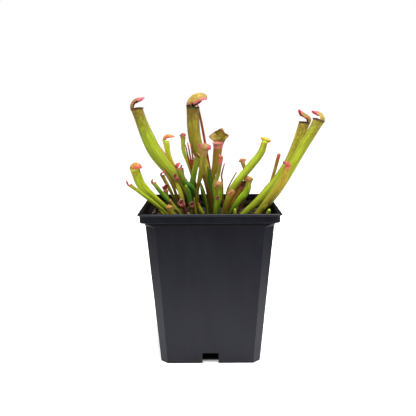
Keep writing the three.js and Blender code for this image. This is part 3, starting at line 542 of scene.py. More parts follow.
def cutter(work):
    """Turns a bmesh into an object that is only used to cut with."""
    mesh = bpy.data.meshes.new("cutter")
    work.to_mesh(mesh)
    work.free()
    return show("cutter", mesh)


def block(low, high):
    """A box between two corners, in millimetres."""
    work = bmesh.new()
    bmesh.ops.create_cube(work, size=1.0)
    for vertex in work.verts:
        share = vertex.co + Vector((0.5, 0.5, 0.5))
        vertex.co = Vector([(a + (b - a) * s) * MM for a, b, s in zip(low, high, share)])
    return cutter(work)


def disc(radius, low, high, x=0, y=0):
    work = bmesh.new()
    bmesh.ops.create_cone(work, cap_ends=True, segments=DISC_SIDES, radius1=radius * MM,
                          radius2=radius * MM, depth=(high - low) * MM)
    bmesh.ops.translate(work, verts=work.verts, vec=Vector((x, y, (low + high) / 2)) * MM)
    return cutter(work)


def cut(piece, tool):
    """Cuts one object by another, applies it and takes the tool away."""
    change = piece.modifiers.new("cut", "BOOLEAN")
    change.object = tool
    change.operation = "DIFFERENCE"
    change.solver = "EXACT"
    bpy.context.view_layer.update()
    graph = bpy.context.evaluated_depsgraph_get()
    result = bpy.data.meshes.new_from_object(piece.evaluated_get(graph))
    piece.modifiers.clear()
    piece.data = result
    bpy.data.objects.remove(tool)


def cut_windows(piece, width, depth, low, high):
    """Takes the middle of each side's lower edge away, from outside the wall inward."""
    half, inner, outer = width / 2, body_half(0) - depth, body_half(0) + 3
    for near, far in ((-outer, -inner), (inner, outer)):
        cut(piece, block((-half, near, low), (half, far, high)))
    for near, far in ((-outer, -inner), (inner, outer)):
        cut(piece, block((near, -half, low), (far, half, high)))


recess = BODY_BASE_WIDTH / 2 - FOOT_RIM
recess = block((-recess, -recess, -1), (recess, recess, FLOOR_UNDERSIDE))
cut(recess, disc(PAD_RADIUS, -2, FLOOR_UNDERSIDE + 1))
cut(pot, recess)
cut_windows(pot, WINDOW_WIDTH, WINDOW_DEPTH, -1, WINDOW_HEIGHT)
for x in (-DRAIN_OFFSET, DRAIN_OFFSET):
    for y in (-DRAIN_OFFSET, DRAIN_OFFSET):
        cut(pot, disc(DRAIN_RADIUS, -1, FLOOR_TOP + 1, x, y))
pot.data.set_sharp_from_angle(angle=math.radians(SHARP_ANGLE))
print("cut pot:", len(pot.data.vertices), "points")

# %% [markdown]
# ## The pot's plastic
#
# Thin black polypropylene isn't quite black. It has a satin skin that blurs what it mirrors, a
# bluish cast, pale rubbed marks and some dust. Low down its colour is painted a little lighter,
# as painted light from the bright floor, and a strip under the band is painted nearly black as
# the band's shadow. A plain dark Principled colour would look like a hole in the picture, so
# soft blotches vary both the colour and the roughness, and fine specks are kept for the dust.
# Inside, and on the rim's flat top, wet peat has dried on the plastic, and that finish mirrors
# very little.

# %% Finish of the pot
# Heights of the strip under the band that carries the painted shadow.
BAND_SHADOW_TOP = BAND_BASE * MM
BAND_SHADOW_LOW, BAND_SHADOW_HIGH = BAND_SHADOW_TOP - 0.0026, BAND_SHADOW_TOP - 0.0008
FLOOR_LIGHT_BELOW = 0.09

pot_finish, t, shader = new_finish("satin_black_plastic")
spot = t.spot()
height = t.split(spot)[2]
rubbed = patchy(t, spot, 28.0, 0.55, 0.35)
streaks = patchy(t, t.scaled(spot, 1.0, 1.0, 0.15), 160.0, 0.4, 0.25)
dust = t.place(specks, Place=spot, Scale=420.0, Size=0.22)["Mask"]
# Painted light: the plastic's colour is a little lighter towards the foot, for light from the bright
# floor.
base = t.mix(t.smooth(height, FLOOR_LIGHT_BELOW, 0.0), "090912", "0d0d14")
base = t.wash(base, rubbed, 0.3, "12121c")
base = t.wash(base, streaks, 0.08, "26272e")
base = t.wash(base, dust, 0.05, "8a867c")
# Painted shadow: a strip right under the band is painted nearly black as the band's shadow, and made
# dull as well.
band_shadow = t.maths("MINIMUM", t.smooth(height, BAND_SHADOW_LOW, BAND_SHADOW_HIGH),
               t.smooth(height, BAND_SHADOW_TOP + 0.0001, BAND_SHADOW_TOP))
t.feed(shader, Base_Color=t.mix(band_shadow, base, "020203"),
       Roughness=t.times_plus(band_shadow, 0.4, t.times_plus(rubbed, 0.14, 0.3)),
       Specular_IOR_Level=0.245, Specular_Tint=(0.9, 0.91, 1.0, 1.0))
t.bump(shader, t.maths("ADD", t.noise(spot, 1500.0, 2.0), t.times(rubbed, 0.8)), 0.12, 0.0002)
settle(pot, pot_finish, "pot_plastic", "pot")

inner_finish, t, shader = new_finish("dull_inner_wall")
spot = t.spot()
runs = patchy(t, t.scaled(spot, 1.0, 1.0, 0.25), 210.0, 0.5, 0.25)
grit = t.place(specks, Place=spot, Scale=500.0, Size=0.3)["Mask"]
base = t.wash("08080a", runs, 0.5, "17140f")
t.feed(shader, Base_Color=t.wash(base, grit, 0.25, "4a4030"),
       Roughness=t.times_plus(runs, 0.15, 0.65), Specular_IOR_Level=0.03)
pot.data.materials.append(inner_finish)
for face in pot.data.polygons:
    x, y, z = face.center / MM
    nearer, farther = sorted((abs(x), abs(y)))
    on_inner_wall = face.normal.x * x + face.normal.y * y < 0 and z > FLOOR_TOP
    on_rim_top = face.normal.z > 0.95 and z > POT_HEIGHT - EDGE_ROUND / 2
    at_window = nearer < WINDOW_WIDTH / 2 + 0.1 and z < WINDOW_HEIGHT + 0.1
    if on_inner_wall or on_rim_top or (at_window and farther < body_half(z) - 0.5):
        face.material_index = 1
print("dull faces:", sum(face.material_index for face in pot.data.polygons))

# %% [markdown]
# ## The potting mix
#
# Pitcher plants grow in wet peat with bark and fibre in it. It is nearly black, crumbly, and
# never flat. The body of the mix is lofted like the pot, and its top is many shrinking rings,
# pushed up and down by layered waves of noise. On it lie separate crumbs of bark and a few pale
# fibres, placed by a seeded draw, so that the surface has real bits on it and not only a rough
# texture.

# %% The body of the mix
MIX_TOP = 94.0
MIX_CLEARANCE = 0.3
MIX_EDGE_DROP = 2.5
MIX_EDGE_START = 0.82
MIX_CELLS = 90
MIX_ROUGH = 1.1
MIX_SINK = 0.25
MIX_WAVES = ((0.35, 0.09, 3.0), (0.35, 0.35, 7.0), (0.3, 1.1, 11.0))
POCKET_WIDTH, POCKET_HEIGHT, POCKET_DEPTH = 14.0, 7.0, 9.0


def mix_height(x, y):
    """Height of the mix at a place: lumps, crumbs and grains, lower along the walls."""
    coarse, middle, fine = (share * noise.noise(Vector((x * scale, y * scale, level)))
                            for share, scale, level in MIX_WAVES)
    wall = max(abs(x), abs(y)) / body_half(MIX_TOP)
    sink = MIX_EDGE_DROP * max(0.0, (wall - MIX_EDGE_START) / (1 - MIX_EDGE_START)) ** 2
    return MIX_TOP - MIX_SINK + MIX_ROUGH * (coarse + middle + fine) - sink


def mix_body():
    inset = POT_WALL + MIX_CLEARANCE
    base_z = FLOOR_TOP + MIX_CLEARANCE
    top_ring = body_outline(MIX_TOP - MIX_EDGE_DROP, inset)
    rings = [body_outline(base_z, inset), top_ring]
    for share in np.linspace(0.985, 0.0, MIX_CELLS)[:-1]:
        ring = top_ring.copy()
        ring[:, :2] *= share
        ring[:, 2] = [mix_height(x, y) for x, y in ring[:, :2]]
        rings.append(ring)
    ends = ((0, 0, base_z), (0, 0, mix_height(0, 0)))
    return Skin().loft(rings, ends).piece("potting_mix_body")


mix = mix_body()
cut_windows(mix, POCKET_WIDTH, POCKET_DEPTH, 0, FLOOR_TOP + MIX_CLEARANCE + POCKET_HEIGHT)
print("mix:", len(mix.data.vertices), "points")

# %% Crumbs
SEED = 20
CRUMB_COUNT, CRUMB_SIDES = 700, 7
CRUMB_RINGS = ((-0.6, 0.6), (0.0, 1.0), (0.6, 0.55))
FROM_WALL, CORNER_LIMIT = 2.5, 1.86
draw = np.random.default_rng(SEED)


def around(sides):
    return np.arange(sides) * 2 * math.pi / sides


def scatter(name, count, shape):
    """Fuses many small shapes, each made by shape(), into one piece lying on the mix."""
    skin = Skin()
    reach = body_half(MIX_TOP) - POT_WALL - FROM_WALL
    for _ in range(count):
        x, y = draw.uniform(-reach, reach, 2)
        if abs(x) + abs(y) < CORNER_LIMIT * reach:
            shape(skin, x, y)
    return skin.piece(name)


def crumb(skin, x, y):
    """A lumpy scrap of bark: a ring of points between two caps, all drawn unevenly."""
    size, flat = draw.uniform(0.35, 1.35), draw.uniform(0.35, 0.8)
    z = mix_height(x, y)
    turns = around(CRUMB_SIDES) + draw.uniform(0, 6)
    rings = []
    for level, share in CRUMB_RINGS:
        radius = size * share * draw.uniform(0.7, 1.15, CRUMB_SIDES)
        across, deep = radius * np.cos(turns), radius * np.sin(turns) * draw.uniform(0.6, 1)
        height = np.full(CRUMB_SIDES, z + flat * size * (level + 0.35))
        rings.append(np.stack([x + across, y + deep, height], -1))
    ends = (rings[0].mean(0), rings[-1].mean(0) + (0, 0, 0.1 * size))
    skin.loft(rings, ends, place=(draw.uniform(0, 1), 0, 0))


crumbs = scatter("mix_crumbs", CRUMB_COUNT, crumb)
print("crumbs:", len(crumbs.data.polygons), "faces")

# %% Fibres
FIBRE_COUNT, FIBRE_SIDES, FIBRE_STEPS = 46, 5, 10
FIBRE_RADIUS, FIBRE_LIFT, FIBRE_FROM_WALL = 0.13, 0.15, 1.2
WALL_FIBRE_COUNT, WALL_FIBRE_STEPS = 14, 12
WALL_FIBRE_RADIUS, WALL_FIBRE_GAP = 0.11, 0.14


def hair_ring(middle, radius, across, over):
    """A thin ring round a fibre, from the two directions square to it."""
    turns = around(FIBRE_SIDES)[:, None]
    return middle + radius * (np.cos(turns) * across + np.sin(turns) * np.array(over))


def fibre(skin, x, y):
    """A thin root hair or grass scrap that arches over the crumbs."""
    length, lift, heading = draw.uniform(4, 13), draw.uniform(0.3, 1.4), draw.uniform(0, 6.28)
    bend = draw.uniform(-0.6, 0.6)
    limit = body_half(MIX_TOP) - POT_WALL - FIBRE_FROM_WALL
    rings = []
    for share in np.linspace(0, 1, FIBRE_STEPS):
        c, s = math.cos(heading + bend * share), math.sin(heading + bend * share)
        x_here, y_here = np.clip((x + length * share * c, y + length * share * s), -limit, limit)
        z_here = mix_height(x_here, y_here) + FIBRE_LIFT + lift * math.sin(math.pi * share)
        rings.append(hair_ring(np.array([x_here, y_here, z_here]), FIBRE_RADIUS * (1.1 - 0.6 * share),
                               np.array([-s, c, 0.0]), (0, 0, 1.0)))
    skin.loft(rings, flip=True)


def wall_fibre(skin, y, z):
    """A pale root hair that has dried on to the left wall, over the mix."""
    length, heading = draw.uniform(4, 10), draw.uniform(-0.6, 3.6)
    curl = draw.uniform(-1.8, 1.8)
    rings = []
    for share in np.linspace(0, 1, WALL_FIBRE_STEPS):
        c, s = math.cos(heading + curl * share), math.sin(heading + curl * share)
        y += length / WALL_FIBRE_STEPS * c
        z = min(max(z + length / WALL_FIBRE_STEPS * s, MIX_TOP - 1.5), BAND_BASE - 1.2)
        x = -(body_half(z) - POT_WALL) + WALL_FIBRE_GAP
        rings.append(hair_ring(np.array([x, y, z]), WALL_FIBRE_RADIUS,
                               np.array([0.0, -s, c]), (1.0, 0, 0)))
    skin.loft(rings)


fibres = scatter("mix_fibres", FIBRE_COUNT, fibre)
hairs = Skin()
for _ in range(WALL_FIBRE_COUNT):
    wall_fibre(hairs, draw.uniform(-30, 30), draw.uniform(MIX_TOP - 1, BAND_BASE - 2))
hairs = hairs.piece("wall_fibres")
print("fibres:", len(fibres.data.polygons) + len(hairs.data.polygons), "faces")

# %% Finishes of the mix
mix_finish, t, shader = new_finish("wet_peat")
spot = t.spot()
lumps = patchy(t, spot, 160.0, 0.6, 0.3)
bits = t.place(specks, Place=spot, Scale=700.0, Size=0.4)
t.feed(shader, Base_Color=t.wash(t.mix(lumps, "0a0909", "1a1612"), bits["Mask"], 0.5, "3a3026"),
       Roughness=t.times_plus(lumps, 0.25, 0.6), Specular_IOR_Level=0.12)
t.bump(shader, t.maths("ADD", lumps, bits["Height"]), 0.8, 0.0006)

bark_finish, t, shader = new_finish("bark_scraps")
streaked = patchy(t, t.scaled(t.spot(), 1, 1, 0.3), 900.0, 0.5, 0.3)
base = t.mix(t.split(t.note("place"))[0], "0e0b0a", "2c211a")
t.feed(shader, Base_Color=t.wash(base, streaked, 0.5, "5a4632"),
       Roughness=t.times_plus(streaked, 0.2, 0.65))

fibre_finish, t, shader = new_finish("dry_fibre")
worn = patchy(t, t.spot(), 350.0, 0.5, 0.3)
t.feed(shader, Base_Color=t.mix(worn, "6d5a3e", "a3926a"), Roughness=0.7)

settle(mix, mix_finish, "potting_mix", "potting_mix")
settle(crumbs, bark_finish, "potting_mix")
settle(fibres, fibre_finish, "potting_mix")
settle(hairs, fibre_finish, "potting_mix")
print("finishes so far:", len(bpy.data.materials))

# %% [markdown]
# ## How a leaf is drawn
#
# A leaf is described by a few stations from its foot to its mouth, each with a place, a height
# over the mix and a width. A smooth curve runs through them, and a ring of points is set square
# to that curve at each step. Blender's own curve bevel could sweep a tube, but not one that
# carries a wing on its front, opens into a slanted mouth and goes on as a hood, so the rings
# are worked out here. The leaf's face is the side that the mouth looks to, and angles round
# the tube are counted from it.

# %% Curve and frame of a leaf
ROOT_DEPTH = 4.0
LEAST_THICKNESS = 0.6
AHEAD = 0.01


def unit(vectors):
    return vectors / np.linalg.norm(vectors, axis=-1, keepdims=True)


def smooth_step(value, low, high):
    share = np.clip((value - low) / (high - low), 0, 1)
    return share * share * (3 - 2 * share)


def along(stations, share):
    """Points of the smooth curve through the stations, at one share of it or at many."""
    points = np.asarray(stations, float)
    last = len(points) - 1
    place = np.atleast_1d(np.asarray(share, float)) * last
    k = np.clip(np.floor(place).astype(int), 0, last - 1)
    t = (place - k)[:, None]
    longer = np.vstack([2 * points[0] - points[1], points, 2 * points[-1] - points[-2]])
    a, b, c, d = (longer[k + step] for step in range(4))
    return b + 0.5 * t * (c - a + t * (2 * a - 5 * b + 4 * c - d + t * (3 * (b - c) + d - a)))


def frame_at(leaf, shares):
    """Middle, directions, radius and flatness of a leaf at many shares of its length."""
    place = along(leaf["path"], shares)
    after, before = along(leaf["path"], shares + AHEAD), along(leaf["path"], shares - AHEAD)
    up = unit((after - before)[:, :3])
    azimuth = math.radians(leaf["faces"])
    face = np.array([math.cos(azimuth), math.sin(azimuth), 0.0])
    face = unit(face - up * (up @ face)[:, None])
    radius = place[:, 3] / 2
    return {
        "middle": place[:, :3] + np.array([0, 0, MIX_TOP]),
        "up": up,
        "face": face,
        "side": np.cross(up, face),
        "radius": radius,
        "thin": np.maximum(leaf["thin"], np.minimum(1.0, LEAST_THICKNESS / 2 / radius)),
    }


def arc_lengths(middle):
    steps = np.linalg.norm(np.diff(middle, axis=0), axis=1)
    return np.concatenate([[0.0], np.cumsum(steps)])


print("middle of a straight leaf:", along([(0, 0, 0, 2), (0, 0, 10, 2)], 0.5)[0])

# %% [markdown]
# ### Tube, lip, throat and hood
#
# A pitcher is one thin skin. Its outside runs from the foot up to the lip, and at the back it
# runs on as the outside of the hood. Its inside runs from deep in the throat up to the lip and
# on as the inside of the hood. Both sheets end in the same loop, round the front of the mouth
# and round the hood's edge, and a rounded bead closes the gap between them there. Round the
# mouth that bead is fat and rolls outward, as the real lip does.

# %% Rings of a tube
GRADES = {
    "large": {"front": 9, "back": 6, "rings": 40, "rows": 22, "wall": 0.42, "lip": 0.42},
    "medium": {"front": 7, "back": 5, "rings": 30, "rows": 18, "wall": 0.36, "lip": 0.34},
    "small": {"front": 6, "back": 4, "rings": 22, "rows": 14, "wall": 0.3, "lip": 0.26},
}
HOOD_HALF = 60.0
WING_HALF = 13.0
WING_END, WING_POWER = 0.9, 1.4
WING_WAVE, WING_WAVES = 0.12, 34
UNEVEN = 0.012


def tube_columns(front, back):
    """Angles round a tube: close together on the wing, and even on the rest."""
    half = [0, 2.5, 6, WING_HALF]
    half += list(np.linspace(WING_HALF, 180 - HOOD_HALF, front + 1)[1:])
    half += list(np.linspace(180 - HOOD_HALF, 180, back + 1)[1:])
    return np.array(half + [360 - angle for angle in half[-2:0:-1]])


def wing_profile(degrees):
    off = np.minimum(degrees, 360 - degrees) / WING_HALF
    return np.clip(1 - off, 0, 1) ** WING_POWER


def wing_height(leaf, shares):
    low = np.sin(math.pi * np.clip(shares / WING_END, 0, 1))
    return leaf["crest"] * low * (1 + WING_WAVE * np.sin(WING_WAVES * shares))


def tube_grid(at, degrees, radius, wing=0.0, slope=0.0, seed=0.0):
    """A grid of points: a ring square to the curve for each row, its columns as angles."""
    angle = np.radians(degrees)[None, :]
    shape = at["radius"].shape
    radius, wing, slope = (np.broadcast_to(value, shape)[:, None] for value in (radius, wing, slope))
    uneven = 1 + UNEVEN * np.sin(3 * angle + seed + 0.5 * np.arange(len(radius))[:, None])
    reach = radius * uneven * (1 + wing * wing_profile(degrees)[None, :])
    ahead = (reach * np.cos(angle) * at["thin"][:, None])[..., None]
    across = (reach * np.sin(angle))[..., None]
    lift = (-slope * radius * np.cos(angle))[..., None]
    return (at["middle"][:, None] + ahead * at["face"][:, None] + across * at["side"][:, None]
            + lift * at["up"][:, None])


def notes_for(shape, unrolled, **values):
    """The notes of a grid: where it lies unrolled, and the named values of each point."""
    notes = {"unrolled": unrolled}
    for note, names in (("place", ("along", "hood", "edge")), ("marks", ("inside", "wing", "rim")),
                        ("sides", ("under", None, None))):
        notes[note] = np.stack([np.broadcast_to(values.get(name, 0.0), shape) for name in names], -1)
    return notes


def add_tube(skin, rows, radius, degrees, lengths, **values):
    """Adds the rows of a tube, with notes on where they would lie if the leaf stood straight."""
    angle, radius = np.radians(degrees)[None, :], np.asarray(radius)[:, None]
    height = np.broadcast_to(np.asarray(lengths)[:, None], rows.shape[:2])
    flat = np.stack([radius * np.cos(angle), radius * np.sin(angle), height], -1)
    grid = skin.add(rows, **notes_for(rows.shape[:2], flat, **values))
    skin.sheet(grid, closed=True)
    return grid


print("columns of a large tube:", len(tube_columns(9, 6)))

# %% The hood
HOOD_SET = 0.625
RUFFLE_OFFSET = 1.7
MOUTH_SLOPE = 0.3
KEEL_WIDTH = 0.12
EDGE_STARTS, EDGE_TIP_POWER = 0.3, 2.2
PLAIN_HOOD = {
    "length": 4.0, "spread": 2.2, "arch": 110.0, "lean": 0.0, "bend": 1.0, "tilt": 0.0, "roll": 0.8,
    "widest": 0.55, "taper": 0.86, "blunt": 2.0, "ruffle": 0.3, "waves": 1.5, "crinkle": 0.12,
    "keel": 0.15,
}


def hood_spine(hood, lip, radius, share):
    """The hood's middle line and its directions: it leans, arches over and runs out straight."""
    arch, lean = math.radians(hood["arch"]), math.radians(hood["lean"])
    up, face = lip["up"][0], lip["face"][0]
    bent = np.minimum(share, hood["bend"])
    turned = lean + arch * bent / hood["bend"]
    c, s = np.cos(turned), np.sin(turned)
    curved, plain = hood["length"] * hood["bend"] / arch, hood["length"] * (share - bent)
    rise = curved * (s - math.sin(lean)) + plain * c
    ahead = curved * (math.cos(lean) - c) + plain * s
    spine = (lip["middle"][0] + (ahead - radius)[..., None] * face
             + (rise + MOUTH_SLOPE * radius)[..., None] * up)
    heading = c[..., None] * up + s[..., None] * face
    return spine, heading, -s[..., None] * up + c[..., None] * face


def hood_width(hood, root_half, share):
    """Half the width of the hood: it widens from the tube's back, and narrows to its tip."""
    widen = np.sin(np.minimum(1, share / hood["widest"]) * math.pi / 2)
    past = np.clip((share - hood["widest"]) / (1 - hood["widest"]), 0, None)
    width = root_half + (hood["spread"] - root_half) * widen
    return width * (1 - hood["taper"] * past ** hood["blunt"])


def hood_grid(leaf, lip, radius, degrees, shares, wall):
    """Outer and inner points of a hood: the back of the tube, carried on as an arching blade."""
    hood = {**PLAIN_HOOD, **leaf["own"]}
    share = shares[:, None]
    spine, heading, inward = hood_spine(hood, lip, radius, share)
    width = hood_width(hood, radius * math.radians(HOOD_HALF), share)
    settled = np.minimum(1, share / HOOD_SET)
    bend = (1 - settled) / radius + settled * hood["roll"] / hood["spread"]
    # Across the hood the blade is an arc of that bend, turned by its tilt.
    across = (degrees[None, :] - 180) / HOOD_HALF
    angle = across * width * bend
    straight = np.abs(angle) < 1e-4
    safe = np.where(straight, 1.0, bend)
    sideways = np.where(straight, across * width, np.sin(angle) / safe)
    dip = np.where(straight, 0.0, (1 - np.cos(angle)) / safe)
    tilt = math.radians(hood["tilt"]) * settled
    sideways, dip = (sideways * np.cos(tilt) - dip * np.sin(tilt),
                     sideways * np.sin(tilt) + dip * np.cos(tilt))
    # Its sides are ruffled, its edge is crinkled, and a keel runs along its middle.
    phase = 2 * math.pi * hood["waves"] * share + np.where(across > 0, 0, RUFFLE_OFFSET)
    wave = hood["ruffle"] * across ** 2 * share * np.sin(phase)
    wave = wave + hood["crinkle"] * np.abs(across) ** 3 * settled * np.sin(2.7 * phase + 1.0)
    wave = wave - hood["keel"] * np.exp(-(across / KEEL_WIDTH) ** 2) * np.sin(math.pi * share)
    drop = MOUTH_SLOPE * radius * (np.cos(np.radians(across * HOOD_HALF)) - 1) * (1 - share)
    side = lip["side"][0]
    outer = (spine - sideways[..., None] * side + (dip + wave)[..., None] * inward
             + drop[..., None] * heading)
    c, s = np.cos(angle + tilt)[..., None], np.sin(angle + tilt)[..., None]
    inner = outer + wall * (c * inward + s * side)
    flat = np.stack([np.broadcast_to(-radius, sideways.shape), -across * width,
                     np.broadcast_to(share * hood["length"], sideways.shape)], -1)
    # The edge note rises towards the sides and towards the tip of the hood.
    edge = np.abs(across) * np.minimum(1, share / 0.25 + EDGE_STARTS)
    return outer, inner, flat, np.maximum(edge, share ** EDGE_TIP_POWER)


print("a plain hood:", PLAIN_HOOD)

# %% Outside and inside of a pitcher
LIP_RISE = 0.5
LIP_FLARE = 1.13
FLARE_STARTS, SLOPE_STARTS = 0.93, 0.9
THROAT_DEPTH = 0.45
LEAST_THROAT = 0.2
THROAT_SHADE_DEPTH, THROAT_SHADE_AT_LIP = 5.0, 0.35
RIM_OUTSIDE, RIM_INSIDE = 1.6, 0.8
LEAST_WING = 0.02


def mouth_slope(shares):
    return MOUTH_SLOPE * smooth_step(shares, SLOPE_STARTS, 1.0) * 0.8


def outside(skin, leaf, degrees, shares, at, lengths, lip, lip_radius):
    """The outside of the tube, from its foot in the mix up to the lip, with its wing."""
    flare = 1 + (leaf["flare"] - 1) * smooth_step(shares, FLARE_STARTS, 1.0) * 0.5
    wing = wing_height(leaf, shares)
    seed = sum(map(ord, leaf["name"])) % 7
    tube = tube_grid(at, degrees, at["radius"] * flare, wing, mouth_slope(shares), seed)
    rows = np.concatenate([tube[:1] - at["up"][0] * ROOT_DEPTH, tube,
                           tube_grid(lip, degrees, lip_radius, 0, MOUTH_SLOPE)])
    row_lengths = np.concatenate([[-ROOT_DEPTH], lengths, [lengths[-1] + LIP_RISE]])
    radius = np.concatenate([at["radius"][:1], at["radius"], [lip_radius]])
    crest = wing_profile(degrees)[None, :] * (np.concatenate([[0], wing, [0]]) > LEAST_WING)[:, None]
    rim = smooth_step(row_lengths, row_lengths[-1] - RIM_OUTSIDE, row_lengths[-1])[:, None]
    grid = add_tube(skin, rows, radius, degrees, row_lengths, wing=crest, rim=rim,
                    along=np.concatenate([[0.0], shares, [1.0]])[:, None])
    skin.fan(grid[0], rows[0].mean(0), up=False)
    return grid


def inside(skin, leaf, degrees, shares, lengths, lip, lip_radius, wall):
    """The inside of the tube, from the lip down the throat, with painted shade that grows darker the
    deeper it goes.
    """
    depths = np.linspace(1, 1 - THROAT_DEPTH, int((len(shares) - 1) * THROAT_DEPTH) + 1)
    at = frame_at(leaf, depths)
    throat = tube_grid(at, degrees, np.maximum(at["radius"] - wall, LEAST_THROAT), 0,
                       mouth_slope(depths))
    rows = np.concatenate([tube_grid(lip, degrees, lip_radius - wall, 0, MOUTH_SLOPE), throat])
    radius = np.concatenate([[lip_radius - wall], at["radius"] - wall])
    top = lengths[-1]
    row_lengths = np.concatenate([[top + LIP_RISE], np.interp(depths, shares, lengths)])
    # Painted shade: the inside is a little dark at the lip and reaches the full throat colour deeper
    # down.
    dark = np.clip((top - row_lengths) / THROAT_SHADE_DEPTH, 0, 1)[:, None]
    rim = smooth_step(row_lengths, top - RIM_INSIDE, top)[:, None]
    grid = add_tube(skin, rows, radius, degrees, row_lengths, along=1.0, rim=rim,
                    inside=THROAT_SHADE_AT_LIP + (1 - THROAT_SHADE_AT_LIP) * dark)
    # The fan that closes the throat carries the full painted shade.
    skin.fan(grid[-1], rows[-1].mean(0), up=True, marks=(1, 0, 0))
    return grid


print("the throat reaches", THROAT_DEPTH, "of the way down and is dark", THROAT_SHADE_DEPTH, "mm in")

# %% The bead, and a whole pitcher
BEAD_STEPS, LEAST_BEAD, HOOD_BEAD, BEAD_FADE = 5, 0.2, 0.45, 3.0


def edge_loop(mouth, hood, step=0):
    """Round the front of the mouth, up one side of the hood, across its tip and down."""
    return np.concatenate([mouth, hood[:, step], hood[-1 - step, 1:], hood[-2::-1, -1 - step]])


def close_edge(skin, top, low, behind, mouth_count, grade):
    """Closes the loop between the two sheets with a bead, fat and rolled round the mouth."""
    points = np.vstack(skin.points)
    notes = {name: np.vstack(skin.notes[name])[top] for name in Skin.NOTES}
    at_mouth = np.arange(len(top)) < mouth_count
    notes["marks"][:, 2] = np.where(at_mouth, 1.0, 0.0)
    ends = np.arange(mouth_count)
    fade = np.ones(len(top))
    fade[:mouth_count] = np.clip(np.minimum(ends, ends[::-1]) / BEAD_FADE, 0, 1)
    size = np.where(at_mouth, LEAST_BEAD + grade["lip"] * fade, grade["wall"] * HOOD_BEAD)
    roll = np.where(at_mouth, grade["lip"] * fade, 0.0)
    away, outward = unit(points[top] - points[behind]), unit(points[top] - points[low])
    middle = (points[top] + points[low]) / 2
    rows = [top]
    for k in range(1, BEAD_STEPS):
        angle = math.pi * k / BEAD_STEPS
        ring = (middle + (points[top] - middle) * math.cos(angle)
                + away * (size * math.sin(angle))[:, None]
                + outward * (roll * math.sin(angle))[:, None])
        rows.append(skin.add(ring, **notes))
    skin.sheet(np.stack([*rows, low]), closed=True)


def open_leaf(skin, leaf):
    grade = GRADES[leaf["grade"]]
    wall = grade["wall"]
    degrees = tube_columns(grade["front"], grade["back"])
    shares = np.linspace(0, 1, grade["rings"] + 1)
    at = frame_at(leaf, shares)
    lengths = arc_lengths(at["middle"])
    lip = {key: value[-1:].copy() for key, value in at.items()}
    lip["middle"] = lip["middle"] + LIP_RISE * lip["up"]
    lip_radius = float(at["radius"][-1]) * leaf["flare"]
    outer = outside(skin, leaf, degrees, shares, at, lengths, lip, lip_radius)
    inner = inside(skin, leaf, degrees, shares, lengths, lip, lip_radius, wall)

    first, last = (int(np.argmin(np.abs(degrees - (180 + turn)))) for turn in (-HOOD_HALF, HOOD_HALF))
    rows = np.linspace(0, 1, grade["rows"] + 1)[1:]
    out, back, flat, edge = hood_grid(leaf, lip, lip_radius, degrees[first:last + 1], rows, wall)
    flat = flat + np.array([0, 0, lengths[-1] + LIP_RISE])
    values = {"along": 1.0, "hood": rows[:, None], "edge": edge}
    outer_hood = skin.add(out, **notes_for(edge.shape, flat, **values))
    inner_hood = skin.add(back, **notes_for(edge.shape, flat, under=1.0, **values))
    skin.sheet(np.vstack([outer[-1:, first:last + 1], outer_hood]))
    skin.sheet(np.vstack([inner[:1, first:last + 1], inner_hood]), flip=True)

    front = [k % len(degrees) for k in range(last, len(degrees) + first + 1)]
    close_edge(skin, edge_loop(outer[-1, front], outer_hood), edge_loop(inner[0, front], inner_hood),
               edge_loop(outer[-2, front], outer_hood, 1), len(front), grade)


print("a large pitcher has", GRADES["large"]["rings"], "rings and", GRADES["large"]["rows"], "hood rows")

# %% [markdown]
# ### Buds, blades and threads
#
# Not every leaf opens. Young ones are still shut and end in a point, some are flat green
# blades, and dead ones dry into straps or threads. They use the same curve and rings, without
# a mouth, and draw in to a soft point. A flat one is also folded a little along its middle,
# because a real blade is never a plain strip.

# %% A closed leaf
CLOSED_COLUMNS, CLOSED_RINGS = 18, 26
FOLD = 0.35
TIP_STARTS = 0.86
TIP_RINGS = (0.45, 0.8)


def closed_leaf(skin, leaf):
    degrees = np.arange(CLOSED_COLUMNS) * 360 / CLOSED_COLUMNS
    shares = np.linspace(0, 1, CLOSED_RINGS + 1)
    at = frame_at(leaf, shares)
    folded = FOLD * (1 - at["thin"]) * at["radius"]
    bow = folded[:, None] * (np.abs(np.sin(np.radians(degrees)))[None, :] - 0.5)
    tube = tube_grid(at, degrees, at["radius"]) + bow[..., None] * at["face"][:, None]
    lengths = arc_lengths(at["middle"])
    rows, radius = [tube[:1] - at["up"][0] * ROOT_DEPTH, tube], [at["radius"][:1], at["radius"]]
    # Two smaller rings past the last station round the tip off.
    end = {key: value[-1:] for key, value in at.items()}
    for share in TIP_RINGS:
        radius.append(end["radius"] * math.sqrt(1 - share ** 2))
        past = {**end, "middle": end["middle"] + end["up"] * end["radius"] * share}
        rows.append(tube_grid(past, degrees, radius[-1]))
    rows = np.concatenate(rows)
    row_shares = np.concatenate([[0.0], shares, [1.0, 1.0]])[:, None]
    row_lengths = np.concatenate([[-ROOT_DEPTH], lengths, [lengths[-1] + 0.3, lengths[-1] + 0.6]])
    grid = add_tube(skin, rows, np.concatenate(radius), degrees, row_lengths, along=row_shares,
                    rim=smooth_step(row_shares, TIP_STARTS, 1.0))
    skin.fan(grid[0], rows[0].mean(0), up=False)
    tip = at["middle"][-1] + at["up"][-1] * at["radius"][-1]
    skin.fan(grid[-1], tip, up=True, place=(1, 0, 0), marks=(0, 0, 1),
             unrolled=(0, 0, lengths[-1] + 0.8))


print("a closed leaf has", CLOSED_RINGS, "rings of", CLOSED_COLUMNS, "points")

# %% [markdown]
# ## The finish of a leaf
#
# Each leaf has colours of its own, but all of them are painted in the same way: a tint along
# the length, darker ribs, soft blotches, brown spots near the mouth, a brown or red wing, a
# lip, a hood that turns pink towards its edge, and a net of veins. One function builds that
# finish from a leaf's colours, so that the shared groups are placed in each with their own
# values. The leaf is a little translucent, and light that goes in comes out softer.

